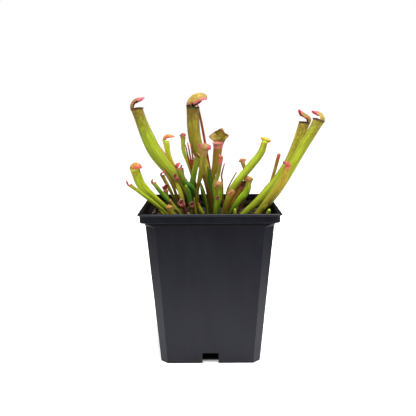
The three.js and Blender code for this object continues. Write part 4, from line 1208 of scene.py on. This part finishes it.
# %% Colours and measures of the leaves
OWN_COLOURS = "foot body neck lip hood".split()
KIND_COLOURS = "lip hood lining edge vein wing throat blotch".split()
# In each kind the throat colour is the painted shade inside a tube.
KINDS = {
    "lime": "8a6a30 b59a45 a08040 e0606a 8c4a30 7c3a20 2a2410 9c9a34",
    "olive": "7a4a38 b3a04a 9c8440 d4626a 7c4a2c 7c3a20 241c0c 7c6a2c",
    "green": "9a6a4a a8945a a07850 d4626a 6a4a24 5c3a18 1c240c 3c6a1a",
    "tan": "c07058 c0985a b0804c d86a6a 8c5030 7c4a24 3a2410 94702e",
    "maroon": "b05a54 c0706a a85c54 d4727a 6c2c28 6c3020 2c1410 5c3420",
    "dead": "8c3a28 a0603c 8c5030 8c3428 6c3018 7c3a20 2c140c 6c3c1c",
}
MEASURES = {
    "foot_reach": 0.4, "neck_start": 0.65, "ribs": 0.4, "net": 0.5, "net_from": 0.9, "net_scale": 0.8,
    "spots": 0.28, "spots_from": 0.6, "mottle": 0.45, "lip_from": 1.1, "edge_from": 0.55,
    "tip_from": 1.0,
}
SPOT_COLOUR, STREAK_STAIN, SUN_STAIN, HOOD_SHADE = "5c4024", "b8a070", "f4ffb0", "d4ccc4"
RIB_STAIN = (0.6, 0.58, 0.35, 1)
STREAKS = 0.5
RIB_COUNT, RIB_WANDER = 22.0, 2.0
VEIN_WIDTH = 0.1
EDGE_BLUR, TIP_BLUR, LIP_BLUR = 0.35, 0.2, 0.06
SHINE = 0.42
print("kinds of leaf:", list(KINDS))

# %% Build a leaf's finish
def leaf_finish(leaf):
    usual = dict(zip(KIND_COLOURS, KINDS[leaf["kind"]].split()))
    tints = dict(zip(OWN_COLOURS, leaf["tint"].split()))
    paint = {**MEASURES, **usual, **tints, **leaf["own"]}
    made, t, shader = new_finish(leaf["name"] + "_finish")
    unrolled = t.note("unrolled")
    length, hood, edge = t.split(t.note("place"))
    throat_shade, wing, rim = t.split(t.note("marks"))
    hood_side = t.split(t.note("sides"))[0]

    sway = t.noise(t.scaled(unrolled, 0.5, 0.5, 0.12), 1.0, 3.0)
    ribs = t.place(tube_ribs, Unrolled=unrolled, Count=RIB_COUNT, Wander=RIB_WANDER)
    veins = t.place(vein_net, Unrolled=unrolled, Scale=paint["net_scale"], Width=VEIN_WIDTH)
    patches = patchy(t, t.scaled(unrolled, 1, 1, 0.3), 0.45, 0.5, 0.3)
    spots = patchy(t, t.scaled(unrolled, 1, 1, 0.7), 0.6, 0.5, 0.2)
    lines = patchy(t, t.scaled(unrolled, 1, 1, 0.09), 0.75, 0.55, 0.22)
    off_hood = t.maths("SUBTRACT", 1.0, t.smooth(hood, 0.0, 0.1))

    # The tube: its tint, whose darker foot is partly the leaf's own tone and partly painted shade, then
    # blotches, spots near the mouth, pale lines and ribs.
    base = t.place(length_tint, Along=length, Sway=sway, Foot=paint["foot"], Body=paint["body"],
                   Neck=paint["neck"], Foot_Reach=paint["foot_reach"],
                   Neck_Start=paint["neck_start"])["Color"]
    base = t.wash(base, patches, 0.5, paint["blotch"])
    near_mouth = t.smooth(length, paint["spots_from"], 1.0)
    base = t.wash(base, t.times(spots, near_mouth), paint["spots"], SPOT_COLOUR)
    base = t.stain_and_shade(base, t.times(lines, STREAKS), STREAK_STAIN)
    base = t.stain_and_shade(base, t.times(ribs["Mask"], paint["ribs"]), RIB_STAIN)
    base = t.mix(1.0, base, SUN_STAIN, "MULTIPLY")

    # The hood: two sides, mottling, the net of veins, a margin that turns pink, and painted shade over
    # the whole of it.
    sides = t.mix(hood_side, paint["hood"], paint["lining"])
    sides = t.wash(sides, spots, paint["mottle"], paint["vein"])
    base = t.mix(t.smooth(hood, 0.0, 0.3), base, sides)
    netted = t.maths("MAXIMUM", t.smooth(length, paint["net_from"], 1.0), t.smooth(hood, 0.0, 0.2))
    base = t.wash(base, netted, t.times(veins["Mask"], paint["net"]), paint["vein"])
    margin = t.maths("ADD", edge, t.times_plus(sway, 0.5, -0.25))
    margin = t.smooth(margin, paint["edge_from"], paint["edge_from"] + EDGE_BLUR)
    margin = t.times(margin, t.smooth(hood, 0.05, 0.3))
    tip = t.smooth(hood, paint["tip_from"], paint["tip_from"] + TIP_BLUR)
    base = t.mix(t.maths("MAXIMUM", margin, tip), base, paint["edge"])
    # Painted shade: the whole hood is darkened a little.
    base = t.stain_and_shade(base, t.smooth(hood, 0.0, 0.1), HOOD_SHADE)

    # Over both: a collar under the mouth, the wing, the lip, and painted shade in the throat.
    collar = t.times_plus(sway, LIP_BLUR, length)
    collar = t.smooth(collar, paint["lip_from"], paint["lip_from"] + LIP_BLUR)
    base = t.wash(base, t.times(collar, off_hood), 0.8, paint["lip"])
    base = t.mix(t.smooth(wing, 0.3, 0.9), base, paint["wing"])
    base = t.mix(t.smooth(rim, 0.25, 0.95), base, paint["lip"])
    base = t.mix(t.smooth(throat_shade, 0.3, 1.0), base, paint["throat"])

    t.feed(shader, Base_Color=base, Roughness=t.times_plus(patches, 0.12, SHINE),
           Specular_IOR_Level=0.18, Subsurface_Weight=0.12, Subsurface_Radius=(0.9, 1.0, 0.3),
           Subsurface_Scale=0.001)
    relief = t.times_plus(ribs["Height"], 0.6, t.times(veins["Height"], 0.5))
    t.bump(shader, relief, 0.35, 0.0002)
    return made


print("a leaf's finish can use", len(bpy.data.node_groups), "shared groups")

# %% [markdown]
# ## The clump
#
# Here is each leaf of the clump: the way its mouth faces in degrees from +X towards +Y, the
# colours of its foot, body, neck, lip and hood, and its stations from foot to mouth or tip.
# Then come its hood's length, spread and arch, and after them whatever differs from a plain
# hood or from the leaf's kind. The tall ones stand at the back and lean outward, and the short
# ones fill the front.

# %% Leaves that open as pitchers
LEAVES = []


def pitcher(grade, kind, name, faces, tint, path, hood=(), crest=0.0, flare=LIP_FLARE, **own):
    """Adds a leaf; a hood is its length, spread and arch, and crest is its front wing's."""
    LEAVES.append({
        "grade": grade, "kind": kind, "name": name, "faces": faces, "tint": tint, "path": path,
        "crest": crest, "flare": flare, "thin": 1.0, "ends": ([],),
        "own": {**dict(zip(("length", "spread", "arch"), hood)), **own},
    })


pitcher("large", "lime", "pitcher_left_tall", 0, "5a5a10 8aa820 88802c 4a2418 8a7a38",
        [(-9.5, 7, 0, 3.5), (-24.5, 9, 25.5, 7.2), (-40, 11, 46.5, 8.6), (-50.5, 14, 73.5, 7.6)],
        (15, 4.2, 95), crest=0.35, lean=10, bend=0.75, roll=1.1, widest=0.3, taper=0.5, blunt=6,
        ruffle=0.35, lining="6a5a2c", edge="e86078", edge_from=0.85, tip_from=0.6, foot_reach=0.7,
        wing="8c3420", spots=0.6, neck_start=0.78)
pitcher("large", "olive", "pitcher_centre_tall", -50, "4e5c0c 9c9628 7c7028 3c4018 c4b850",
        [(2, 6, 0, 3.5), (-1, 8, 24, 6.5), (-10, 12, 53, 8.8), (-11.5, 15, 74.5, 8.6)],
        (20.5, 9.5, 150), flare=1.05, bend=0.9, tilt=34, roll=1.3, widest=0.4, taper=0.5, blunt=3,
        ruffle=1, waves=2.2, lining="b09848", vein="8c5a30", edge="b8506c", edge_from=0.7,
        blotch="7a5a34", ribs=0.6, net=0.9, neck_start=0.75, spots=0.55, spots_from=0.4,
        net_scale=1.1, net_from=0.98)
pitcher("large", "olive", "pitcher_right_centre", -115, "5c5c18 947c22 a86c3c bc7468 c0b448",
        [(4, 14, 0, 2.5), (2.5, 15, 23.5, 3), (5, 17, 37, 5.6), (6.5, 19, 49, 6.8)],
        (10, 9.4, 35), flare=1.2, tilt=-8, roll=0.55, widest=0.38, taper=0.93, blunt=1.4,
        ruffle=1.5, waves=2.5, lining="ccc050", vein="5c3c1c", net=0.8, edge="94683c",
        net_scale=1.1, lip_from=0.9, neck_start=0.5, mottle=0.3)
pitcher("large", "lime", "pitcher_left_fat", 10, "5c7a08 a8c026 bcc438 b8b03c c8a448",
        [(-22.5, -5, 0, 3), (-37, -7, 13, 4.2), (-46, -9, 22.5, 5.8), (-50, -10, 33.5, 6.4)],
        (13, 6.2, 175), crest=0.2, flare=1.02, lean=15, roll=1.6, widest=0.3, taper=0.4, blunt=4,
        ruffle=0.2, lining="c05048", edge="d45c54", edge_from=0.45, spots=0.3)
pitcher("large", "lime", "pitcher_right_yellow", 95, "5c6e10 94ac22 b0b43c b8bc34 e8e048",
        [(9, -3, 0, 3), (15, -1.5, 18, 4.4), (27.5, 4, 33, 5.4), (35.5, 7, 42.5, 5),
         (38.5, 8, 50, 4.2)],
        (7.5, 4.2, 140), crest=0.25, flare=1.0, roll=0.4, widest=0.45, taper=0.95, blunt=1,
        ruffle=0.5, lining="d8c048", edge="e83c40", edge_from=0.7, wing="8c5028", net=0.1,
        foot_reach=0.5)
pitcher("large", "lime", "pitcher_right_tall_back", 180, "9cb83c 90a430 c8b054 3c2018 9c9044",
        [(23, 3, 0, 4), (38.5, 4, 14, 6), (55.5, 6, 35, 7.2), (66, 8, 63.5, 7.1)],
        (13.5, 4.4, 91), crest=0.15, flare=1.05, lean=-14, bend=0.4, roll=1.3, widest=0.3,
        taper=0.6, blunt=5, ruffle=0.5, neck_start=0.6, lining="6e4a2c", edge="d84c5c",
        edge_from=0.85, tip_from=0.72, spots=0.6)
pitcher("large", "lime", "pitcher_right_tall_front", 155, "5c7a14 98a434 a8a044 4a3020 bcac4c",
        [(31, -8, 0, 4.6), (46.5, -7, 20, 6.7), (61, -5, 44, 6.4), (73.5, -4, 65, 6.8)],
        (13.5, 4.2, 105), crest=0.15, lean=22, bend=0.9, roll=1.2, widest=0.35, taper=0.7, blunt=3,
        ruffle=0.6, lining="94803c", vein="8c7a3c", edge="dc4c64", edge_from=0.85, tip_from=0.5,
        wing="6c1c20", neck_start=0.75, spots=0.45)
pitcher("medium", "lime", "pitcher_left_yellow", 0, "4c5410 b8c44c dce464 c8cc58 d0a84c",
        [(-11, 15, 0, 2), (-21, 17, 23.5, 2.8), (-28.5, 19, 39, 3.6), (-31, 20, 50.5, 4.4)],
        (11.5, 3.6, 110), flare=1.05, lean=10, bend=0.75, roll=1.3, widest=0.3, taper=0.5, blunt=5,
        blotch="b8b84c", spots=0.1, lining="d88c48", edge="dc6c38", net=0.2, neck_start=0.5)
pitcher("medium", "olive", "pitcher_front_centre", 80, "3a2410 94902c bcb058 906c3c a89054",
        [(-9, -9, 0, 2.4), (-8, -12, 20, 2.2), (-5.5, -18, 32.5, 3.7), (-3.5, -23, 46.5, 4.4)],
        (7.5, 4.8, 115), roll=0.8, ruffle=0.8, waves=2.2, lining="b87868", edge="b84c5c",
        edge_from=0.35, foot_reach=0.6, ribs=0.5, lip_from=0.95)
pitcher("medium", "green", "pitcher_left_green", 20, "4c6410 5e8214 b0bc58 9a6a4a a88040",
        [(-16.5, -11.5, 0, 2.2), (-25.5, -12.5, 10.5, 3), (-32.5, -13, 18.5, 3),
         (-37, -13, 24.5, 2.8)], edge="b86848")
pitcher("medium", "green", "pitcher_dark_hook", 10, "3c2c0c 2a4c06 a49c38 9a6a4a 945c38",
        [(-7, -4, 0, 2.4), (-11, -6, 18.5, 3.8), (-17, -6, 24.5, 4.4), (-21, -6, 33.5, 3.6)],
        (6.5, 3.6, 125), flare=1.0, roll=1.3, taper=0.5, edge="cc4450", edge_from=0.3,
        neck_start=0.55)
pitcher("medium", "green", "pitcher_green_centre", -160, "2a4404 5a7014 a8aa38 7c7c34 8ca048",
        [(-11.5, 0.5, 0, 2.4), (-13, -1, 16.5, 4.2), (-11, -1, 27.5, 4), (-8.5, -1, 40, 3.8)],
        (5, 2.6, 115), roll=0.8, edge="b03c54", edge_from=0.45, neck_start=0.5)
pitcher("medium", "olive", "pitcher_pink_lipped", 150, "5c6418 8c9034 8c7438 b0504c a07040",
        [(4.5, -8, 0, 2), (3, -7, 20.5, 2.4), (5.5, -5, 28, 2.8), (7.5, -4, 39, 3)],
        (5, 2.4, 100), roll=0.6, edge="cc5c68", lip_from=0.92)
pitcher("medium", "green", "pitcher_right_front", 110, "4c7010 b0dc44 ccdc58 9a6a4a b09050",
        [(3.3, -12, 0, 3), (5, -14, 10.5, 4.4), (6, -15, 16, 4.8), (6, -17, 22.5, 4.8)],
        (5, 3.4, 100), roll=0.8, ruffle=0.5, edge="c05c5c")
pitcher("medium", "green", "pitcher_banana", 120, "38560a bce04c dce068 9a6a4a bc9858",
        [(12.5, -7, 0, 2.6), (19.5, -9, 11.5, 4), (25, -10, 18.5, 4.6), (26.5, -11, 25, 3.6)],
        (5, 3.4, 110), crest=0.2, roll=0.9, ruffle=0.4, edge="c84848", edge_from=0.45)
pitcher("medium", "maroon", "pitcher_brown_crumpled", -110, "5a4420 cc9450 f0a878 a85c50 b46064",
        [(13, 3, 0, 2.4), (15.5, 3, 8.5, 3.4), (18.5, 3.5, 14.5, 4.6), (22, 4, 19, 5)],
        (6, 4, 70), roll=0.6, ruffle=1.1, blotch="885838", lining="b46064", edge="c8707c")
pitcher("medium", "tan", "pitcher_tan_right", 130, "34440a a8a430 e4d65c c07058 a8803c",
        [(9, -13, 0, 2.4), (10.5, -15, 8, 3), (12, -16, 13, 3.6), (14, -17, 17.5, 3.8)],
        (4.5, 3, 100), roll=0.9, ruffle=0.5, net=0.45, net_from=0.3, foot_reach=0.6, edge="b86450")
pitcher("medium", "tan", "pitcher_tan_right_front", 175, "506c0c bca850 dcbc60 c06050 cc4c54",
        [(27.5, -16, 0, 2.8), (39.5, -17.5, 13.5, 4.2), (48, -18, 25, 4.5), (51, -18, 35, 4.2)],
        (7.5, 3.8, 105), flare=1.0, lean=8, bend=0.8, roll=1.6, widest=0.35, taper=0.6, blunt=4,
        edge="5c1c28", edge_from=0.9, tip_from=0.75, foot_reach=0.75)
pitcher("medium", "tan", "pitcher_tan_front", 60, "4c4c14 909020 a8a034 9c8c40 bc904c",
        [(-24, -24, 0, 3), (-25, -25, 4, 3.4), (-25, -26, 6.5, 3.8), (-25.5, -26, 8.5, 4.2)],
        (4.5, 3.4, 110), roll=0.8, ruffle=0.5, edge="b87454")
pitcher("small", "lime", "pitcher_slim_left", 60, "4c5014 b0c848 c4cc54 8c5c30 94603c",
        [(-6.5, 12, 0, 1.7), (-13, 12, 29, 1.9), (-18, 13, 44, 2.6), (-18.5, 13.5, 53.5, 3.2)],
        (4.5, 3.1, 110), roll=0.7, edge="c04858", edge_from=0.3)
pitcher("small", "lime", "pitcher_left_low", 10, "243a04 88a024 a0a43c 8a6a30 c84c48",
        [(-25.5, -13, 0, 2), (-35, -16, 10, 2.6), (-45, -18, 18.5, 2.6), (-52, -19, 24, 2.4)],
        (4.5, 2, 50), lean=10, roll=1.2, edge="d8505c", foot_reach=0.6)
pitcher("small", "olive", "pitcher_red_hook", 10, "344c0c 909440 989040 7a4a38 7c2c28",
        [(-20, 5, 0, 1.8), (-26, 4, 14.5, 2.2), (-29.5, 4, 21.5, 2.5), (-32.5, 4, 27.5, 2.6)],
        (4.5, 2.2, 140), edge="8c2430")
pitcher("small", "tan", "pitcher_pink_left", -40, "48380e 5c6a14 a08440 c07058 c06470",
        [(-25.5, -1, 0, 2), (-28.5, -2, 9.5, 2.4), (-29.5, -3, 14, 2.8), (-30, -3, 18, 3.2)],
        (5.5, 3.5, 80), roll=0.5, ruffle=0.5, lining="c06470", vein="9c3440", net=0.9,
        edge="c87078")
pitcher("small", "maroon", "pitcher_pink_triangle", -30, "44200a 605008 987838 b05a54 b85c60",
        [(-17, 1, 0, 2), (-17, 0, 13, 2.6), (-20.5, 0, 21, 2.8), (-22.5, 0, 26, 2.8)],
        (4, 2.2, 60), roll=0.4, lining="b85c60", edge="c06870")
pitcher("small", "maroon", "pitcher_brown_stub", -20, "5a4420 8c6c38 906838 b05a54 8c4434",
        [(-13.5, 4, 0, 1.6), (-15, 4, 20.5, 2), (-18, 4, 27, 2), (-19, 4, 32.5, 2)],
        (3, 1.6, 60), edge="c86878")
pitcher("small", "maroon", "pitcher_pink_low", -60, "2c180a 50280e 5c301a b05a54 bc6c74",
        [(-15, -14, 0, 2.2), (-16, -14.5, 5, 2.5), (-17, -14.5, 8, 2.8), (-18, -15, 10, 3)],
        (4, 2.6, 60), roll=0.3, ruffle=0.5, lining="b86870", edge="c87c84", vein="7c3438")
pitcher("small", "maroon", "pitcher_pink_low_small", -70, "2c1808 50300e 603418 b05a54 bc6c74",
        [(-12.5, -15.5, 0, 1.7), (-12.5, -15.5, 4, 1.9), (-12, -15, 7, 2.1), (-12, -15, 9, 2.2)],
        (3, 1.6, 60), roll=0.3, lining="b86870", edge="c87c84", vein="7c3438")
pitcher("small", "lime", "pitcher_pink_tip", 30, "4c5014 70701c 808028 8a6a30 b87058",
        [(-17, -17, 0, 1.7), (-20.5, -18, 6, 2), (-23, -19, 8.5, 2.2), (-25, -19, 12, 2)],
        (3, 1.6, 90), edge="c06464")
pitcher("small", "olive", "pitcher_tiny_pink", -60, "405810 84ac1e a4cc38 7a4a38 b05458",
        [(3.5, -19, 0, 1.6), (4, -20, 8.5, 1.6), (4.5, -20, 12, 1.7), (5, -20, 14.5, 1.8)],
        (2.4, 1.4, 70))
pitcher("small", "tan", "pitcher_small_right", 100, "5c4c18 b49c4c c0a860 c07058 b8844c",
        [(14, 10, 0, 1.8), (22.5, 12, 11.5, 2), (26, 14, 26.5, 2.4), (24, 15, 35.5, 2.8)],
        (4, 3.2, 100), roll=0.8, edge="c86458")
print("pitchers:", len(LEAVES))

# %% Buds, blades, stalks and threads
def closed(kind, name, faces, tint, path, thin=1.0, ends=([],), **own):
    """Adds a leaf without a mouth, which may split into several ends."""
    pitcher("closed", kind, name, faces, tint, path, **own)
    LEAVES[-1].update(thin=thin, ends=ends)


closed("tan", "bud_right_slender", 180, "6e8424 a09840 b87040 a84c3c",
       [(28, 13, 0, 1.4), (40.5, 14, 13, 1.8), (45.5, 15, 26, 2.3), (49.5, 15, 41, 2.6)],
       neck_start=0.6)
closed("lime", "bud_left", 0, "2c300c 3c440c 3a420a 38400a",
       [(-27, -20, 0, 1.6), (-30.5, -22, 5, 1.8), (-32, -22.5, 6.5, 1.8), (-33, -23, 8, 1.3)])
closed("lime", "bud_right", 180, "4c4c28 84902c 8c9c2c 98a834",
       [(36, -25, 0, 2.2), (37.5, -26, 4, 2.8), (38, -27, 6, 3), (38.5, -28, 8.5, 2)])
closed("lime", "bud_front", 90, "3c441c 505c14 606e18 8c9c24",
       [(15.5, -23, 0, 2.2), (16, -24, 4, 2.6), (16.5, -25, 6, 2.6), (16.5, -25, 8.5, 1.6)])
closed("lime", "bud_middle", 90, "302c1c 443c20 544e2c 544c30",
       [(-13, -25, 0, 2), (-13.5, -26, 3.5, 2.4), (-13.5, -26, 5, 2.4), (-14, -26, 6.5, 1.6)])
closed("olive", "blade_grey_green", -60, "50380e c0c84c 5c5c14 50400c",
       [(-16.5, -6.5, 0, 2), (-19, -7, 14, 3.2), (-21, -7, 20.5, 3.2), (-23.5, -7, 25.5, 2)],
       thin=0.5)
closed("dead", "blade_brown_folded", -60, "44380c 84703a 8c6434 8c3c30",
       [(-15, -3, 0, 1.8), (-21.5, -3, 12, 2.2), (-26, -3, 23.5, 2.2), (-31.5, -2, 32, 1.6)],
       thin=0.5)
closed("green", "blade_green_middle", -80, "1e3406 3e5208 586c16 60741c",
       [(0, 1, 0, 2.6), (-2.5, 0, 8.5, 3.2), (-4.5, -1, 16.5, 3.2), (-6, -2, 23, 1.6)], thin=0.5)
closed("dead", "blade_olive_middle", -80, "40300e 5a4418 685614 786e28",
       [(2.5, -3, 0, 2), (0, -3.5, 14, 2.4), (-2.5, -4.5, 23, 2.4), (-4.5, -5, 32, 1.4)], thin=0.6)
closed("green", "blade_green_back", -80, "4c5414 4a5410 40520c 5c5420",
       [(5, 2, 0, 2.4), (2.3, 1.5, 14, 3.4), (0.8, 1.5, 25, 3.6), (-0.9, 1.5, 34, 1.6)], thin=0.5)
closed("green", "blade_green_left", -80, "2c4804 3e6206 648410 6c8c1a",
       [(-12, -9, 0, 2.2), (-13, -10, 9.5, 3), (-14, -10, 17.5, 3), (-16, -10, 22.5, 1.6)],
       thin=0.5)
closed("dead", "blade_dark_right", -90, "24160a 3a200c 54381c 5c3c20",
       [(17.5, 4, 0, 2.2), (21.5, 4, 5, 2.2), (24, 4, 9.5, 2.2), (26, 4, 15, 1.2)], thin=0.5)
closed("lime", "blade_light_front", -90, "48501c b0bc38 706c24 6c6020",
       [(-3.2, -18, 0, 1.8), (-4.5, -19, 5, 2), (-6, -20, 8, 2), (-7.5, -20, 12, 1.2)], thin=0.5)
closed("lime", "blade_low_right", -90, "84903c 7c7c20 404c0c 303c08",
       [(29, -20, 0, 2.2), (33.5, -21, 7, 2.4), (36, -22, 9.5, 2.4), (39, -22, 12, 1.2)], thin=0.5)
closed("dead", "stalk_rust_red", -90, "8c2414 b43c18 b84c1c a84c24",
       [(5, 20, 0, 1.4), (2, 21, 21.5, 1.6), (-1.5, 22.5, 41, 1.8), (-5, 24, 61, 1.8),
        (-8, 25, 76, 1.4)])
closed("dead", "thread_folded", -90, "5c3a1a a86c34 b0542c",
       [(9.5, 3, 0, 1.4), (9, 4, 22, 1.4), (8.5, 5, 28, 1.3), (10.5, 5, 36, 0.8)])
closed("dead", "thread_right", -90, "7c7c34 9c7c3c a46c34",
       [(11, 7, 0, 1.2), (12, 7, 14.5, 1.2), (14.5, 8, 21.5, 1.1), (19, 9, 29.5, 0.8)])
closed("lime", "thread_light", -90, "3c4808 586812 626e1c",
       [(-1, -8, 0, 1.2), (-2.6, -9, 12.5, 1.2), (-4.7, -10, 19, 1), (-6, -10, 22.5, 0.8)])
closed("lime", "thread_pale", -90, "3c3010 786a30 88803c",
       [(-8.5, -16, 0, 1), (-9.5, -16, 7, 1), (-10, -16, 11, 1), (-10.3, -16, 15, 0.8)])
closed("dead", "blade_dead_split", -90, "6c2c14 a83c18 b84c1c a8441c",
       [(-5.5, 9.5, 0, 1.4), (-11.5, 6.5, 29, 1.8)], thin=0.6,
       ends=([(-14.5, 6, 39.5, 1.3), (-16.5, 6, 49, 0.8)],
             [(-13, 6, 39.5, 1.3), (-15, 6, 50.5, 0.8)],
             [(-11.5, 6, 39.5, 1.3), (-13, 6, 49.5, 0.8)]))
print("leaves:", len(LEAVES))

# %% Make every leaf
faces_made = 0
for leaf in LEAVES:
    skin = Skin()
    shape = closed_leaf if leaf["grade"] == "closed" else open_leaf
    for end in leaf["ends"]:
        shape(skin, {**leaf, "path": [*leaf["path"], *end]})
    piece = skin.piece(leaf["name"] + "_skin")
    slot = "dead_leaf" if leaf["kind"] == "dead" else "leaf_" + leaf["kind"]
    settle(piece, leaf_finish(leaf), slot, leaf["name"])
    faces_made += len(piece.data.polygons)
print("faces on all leaves:", faces_made)
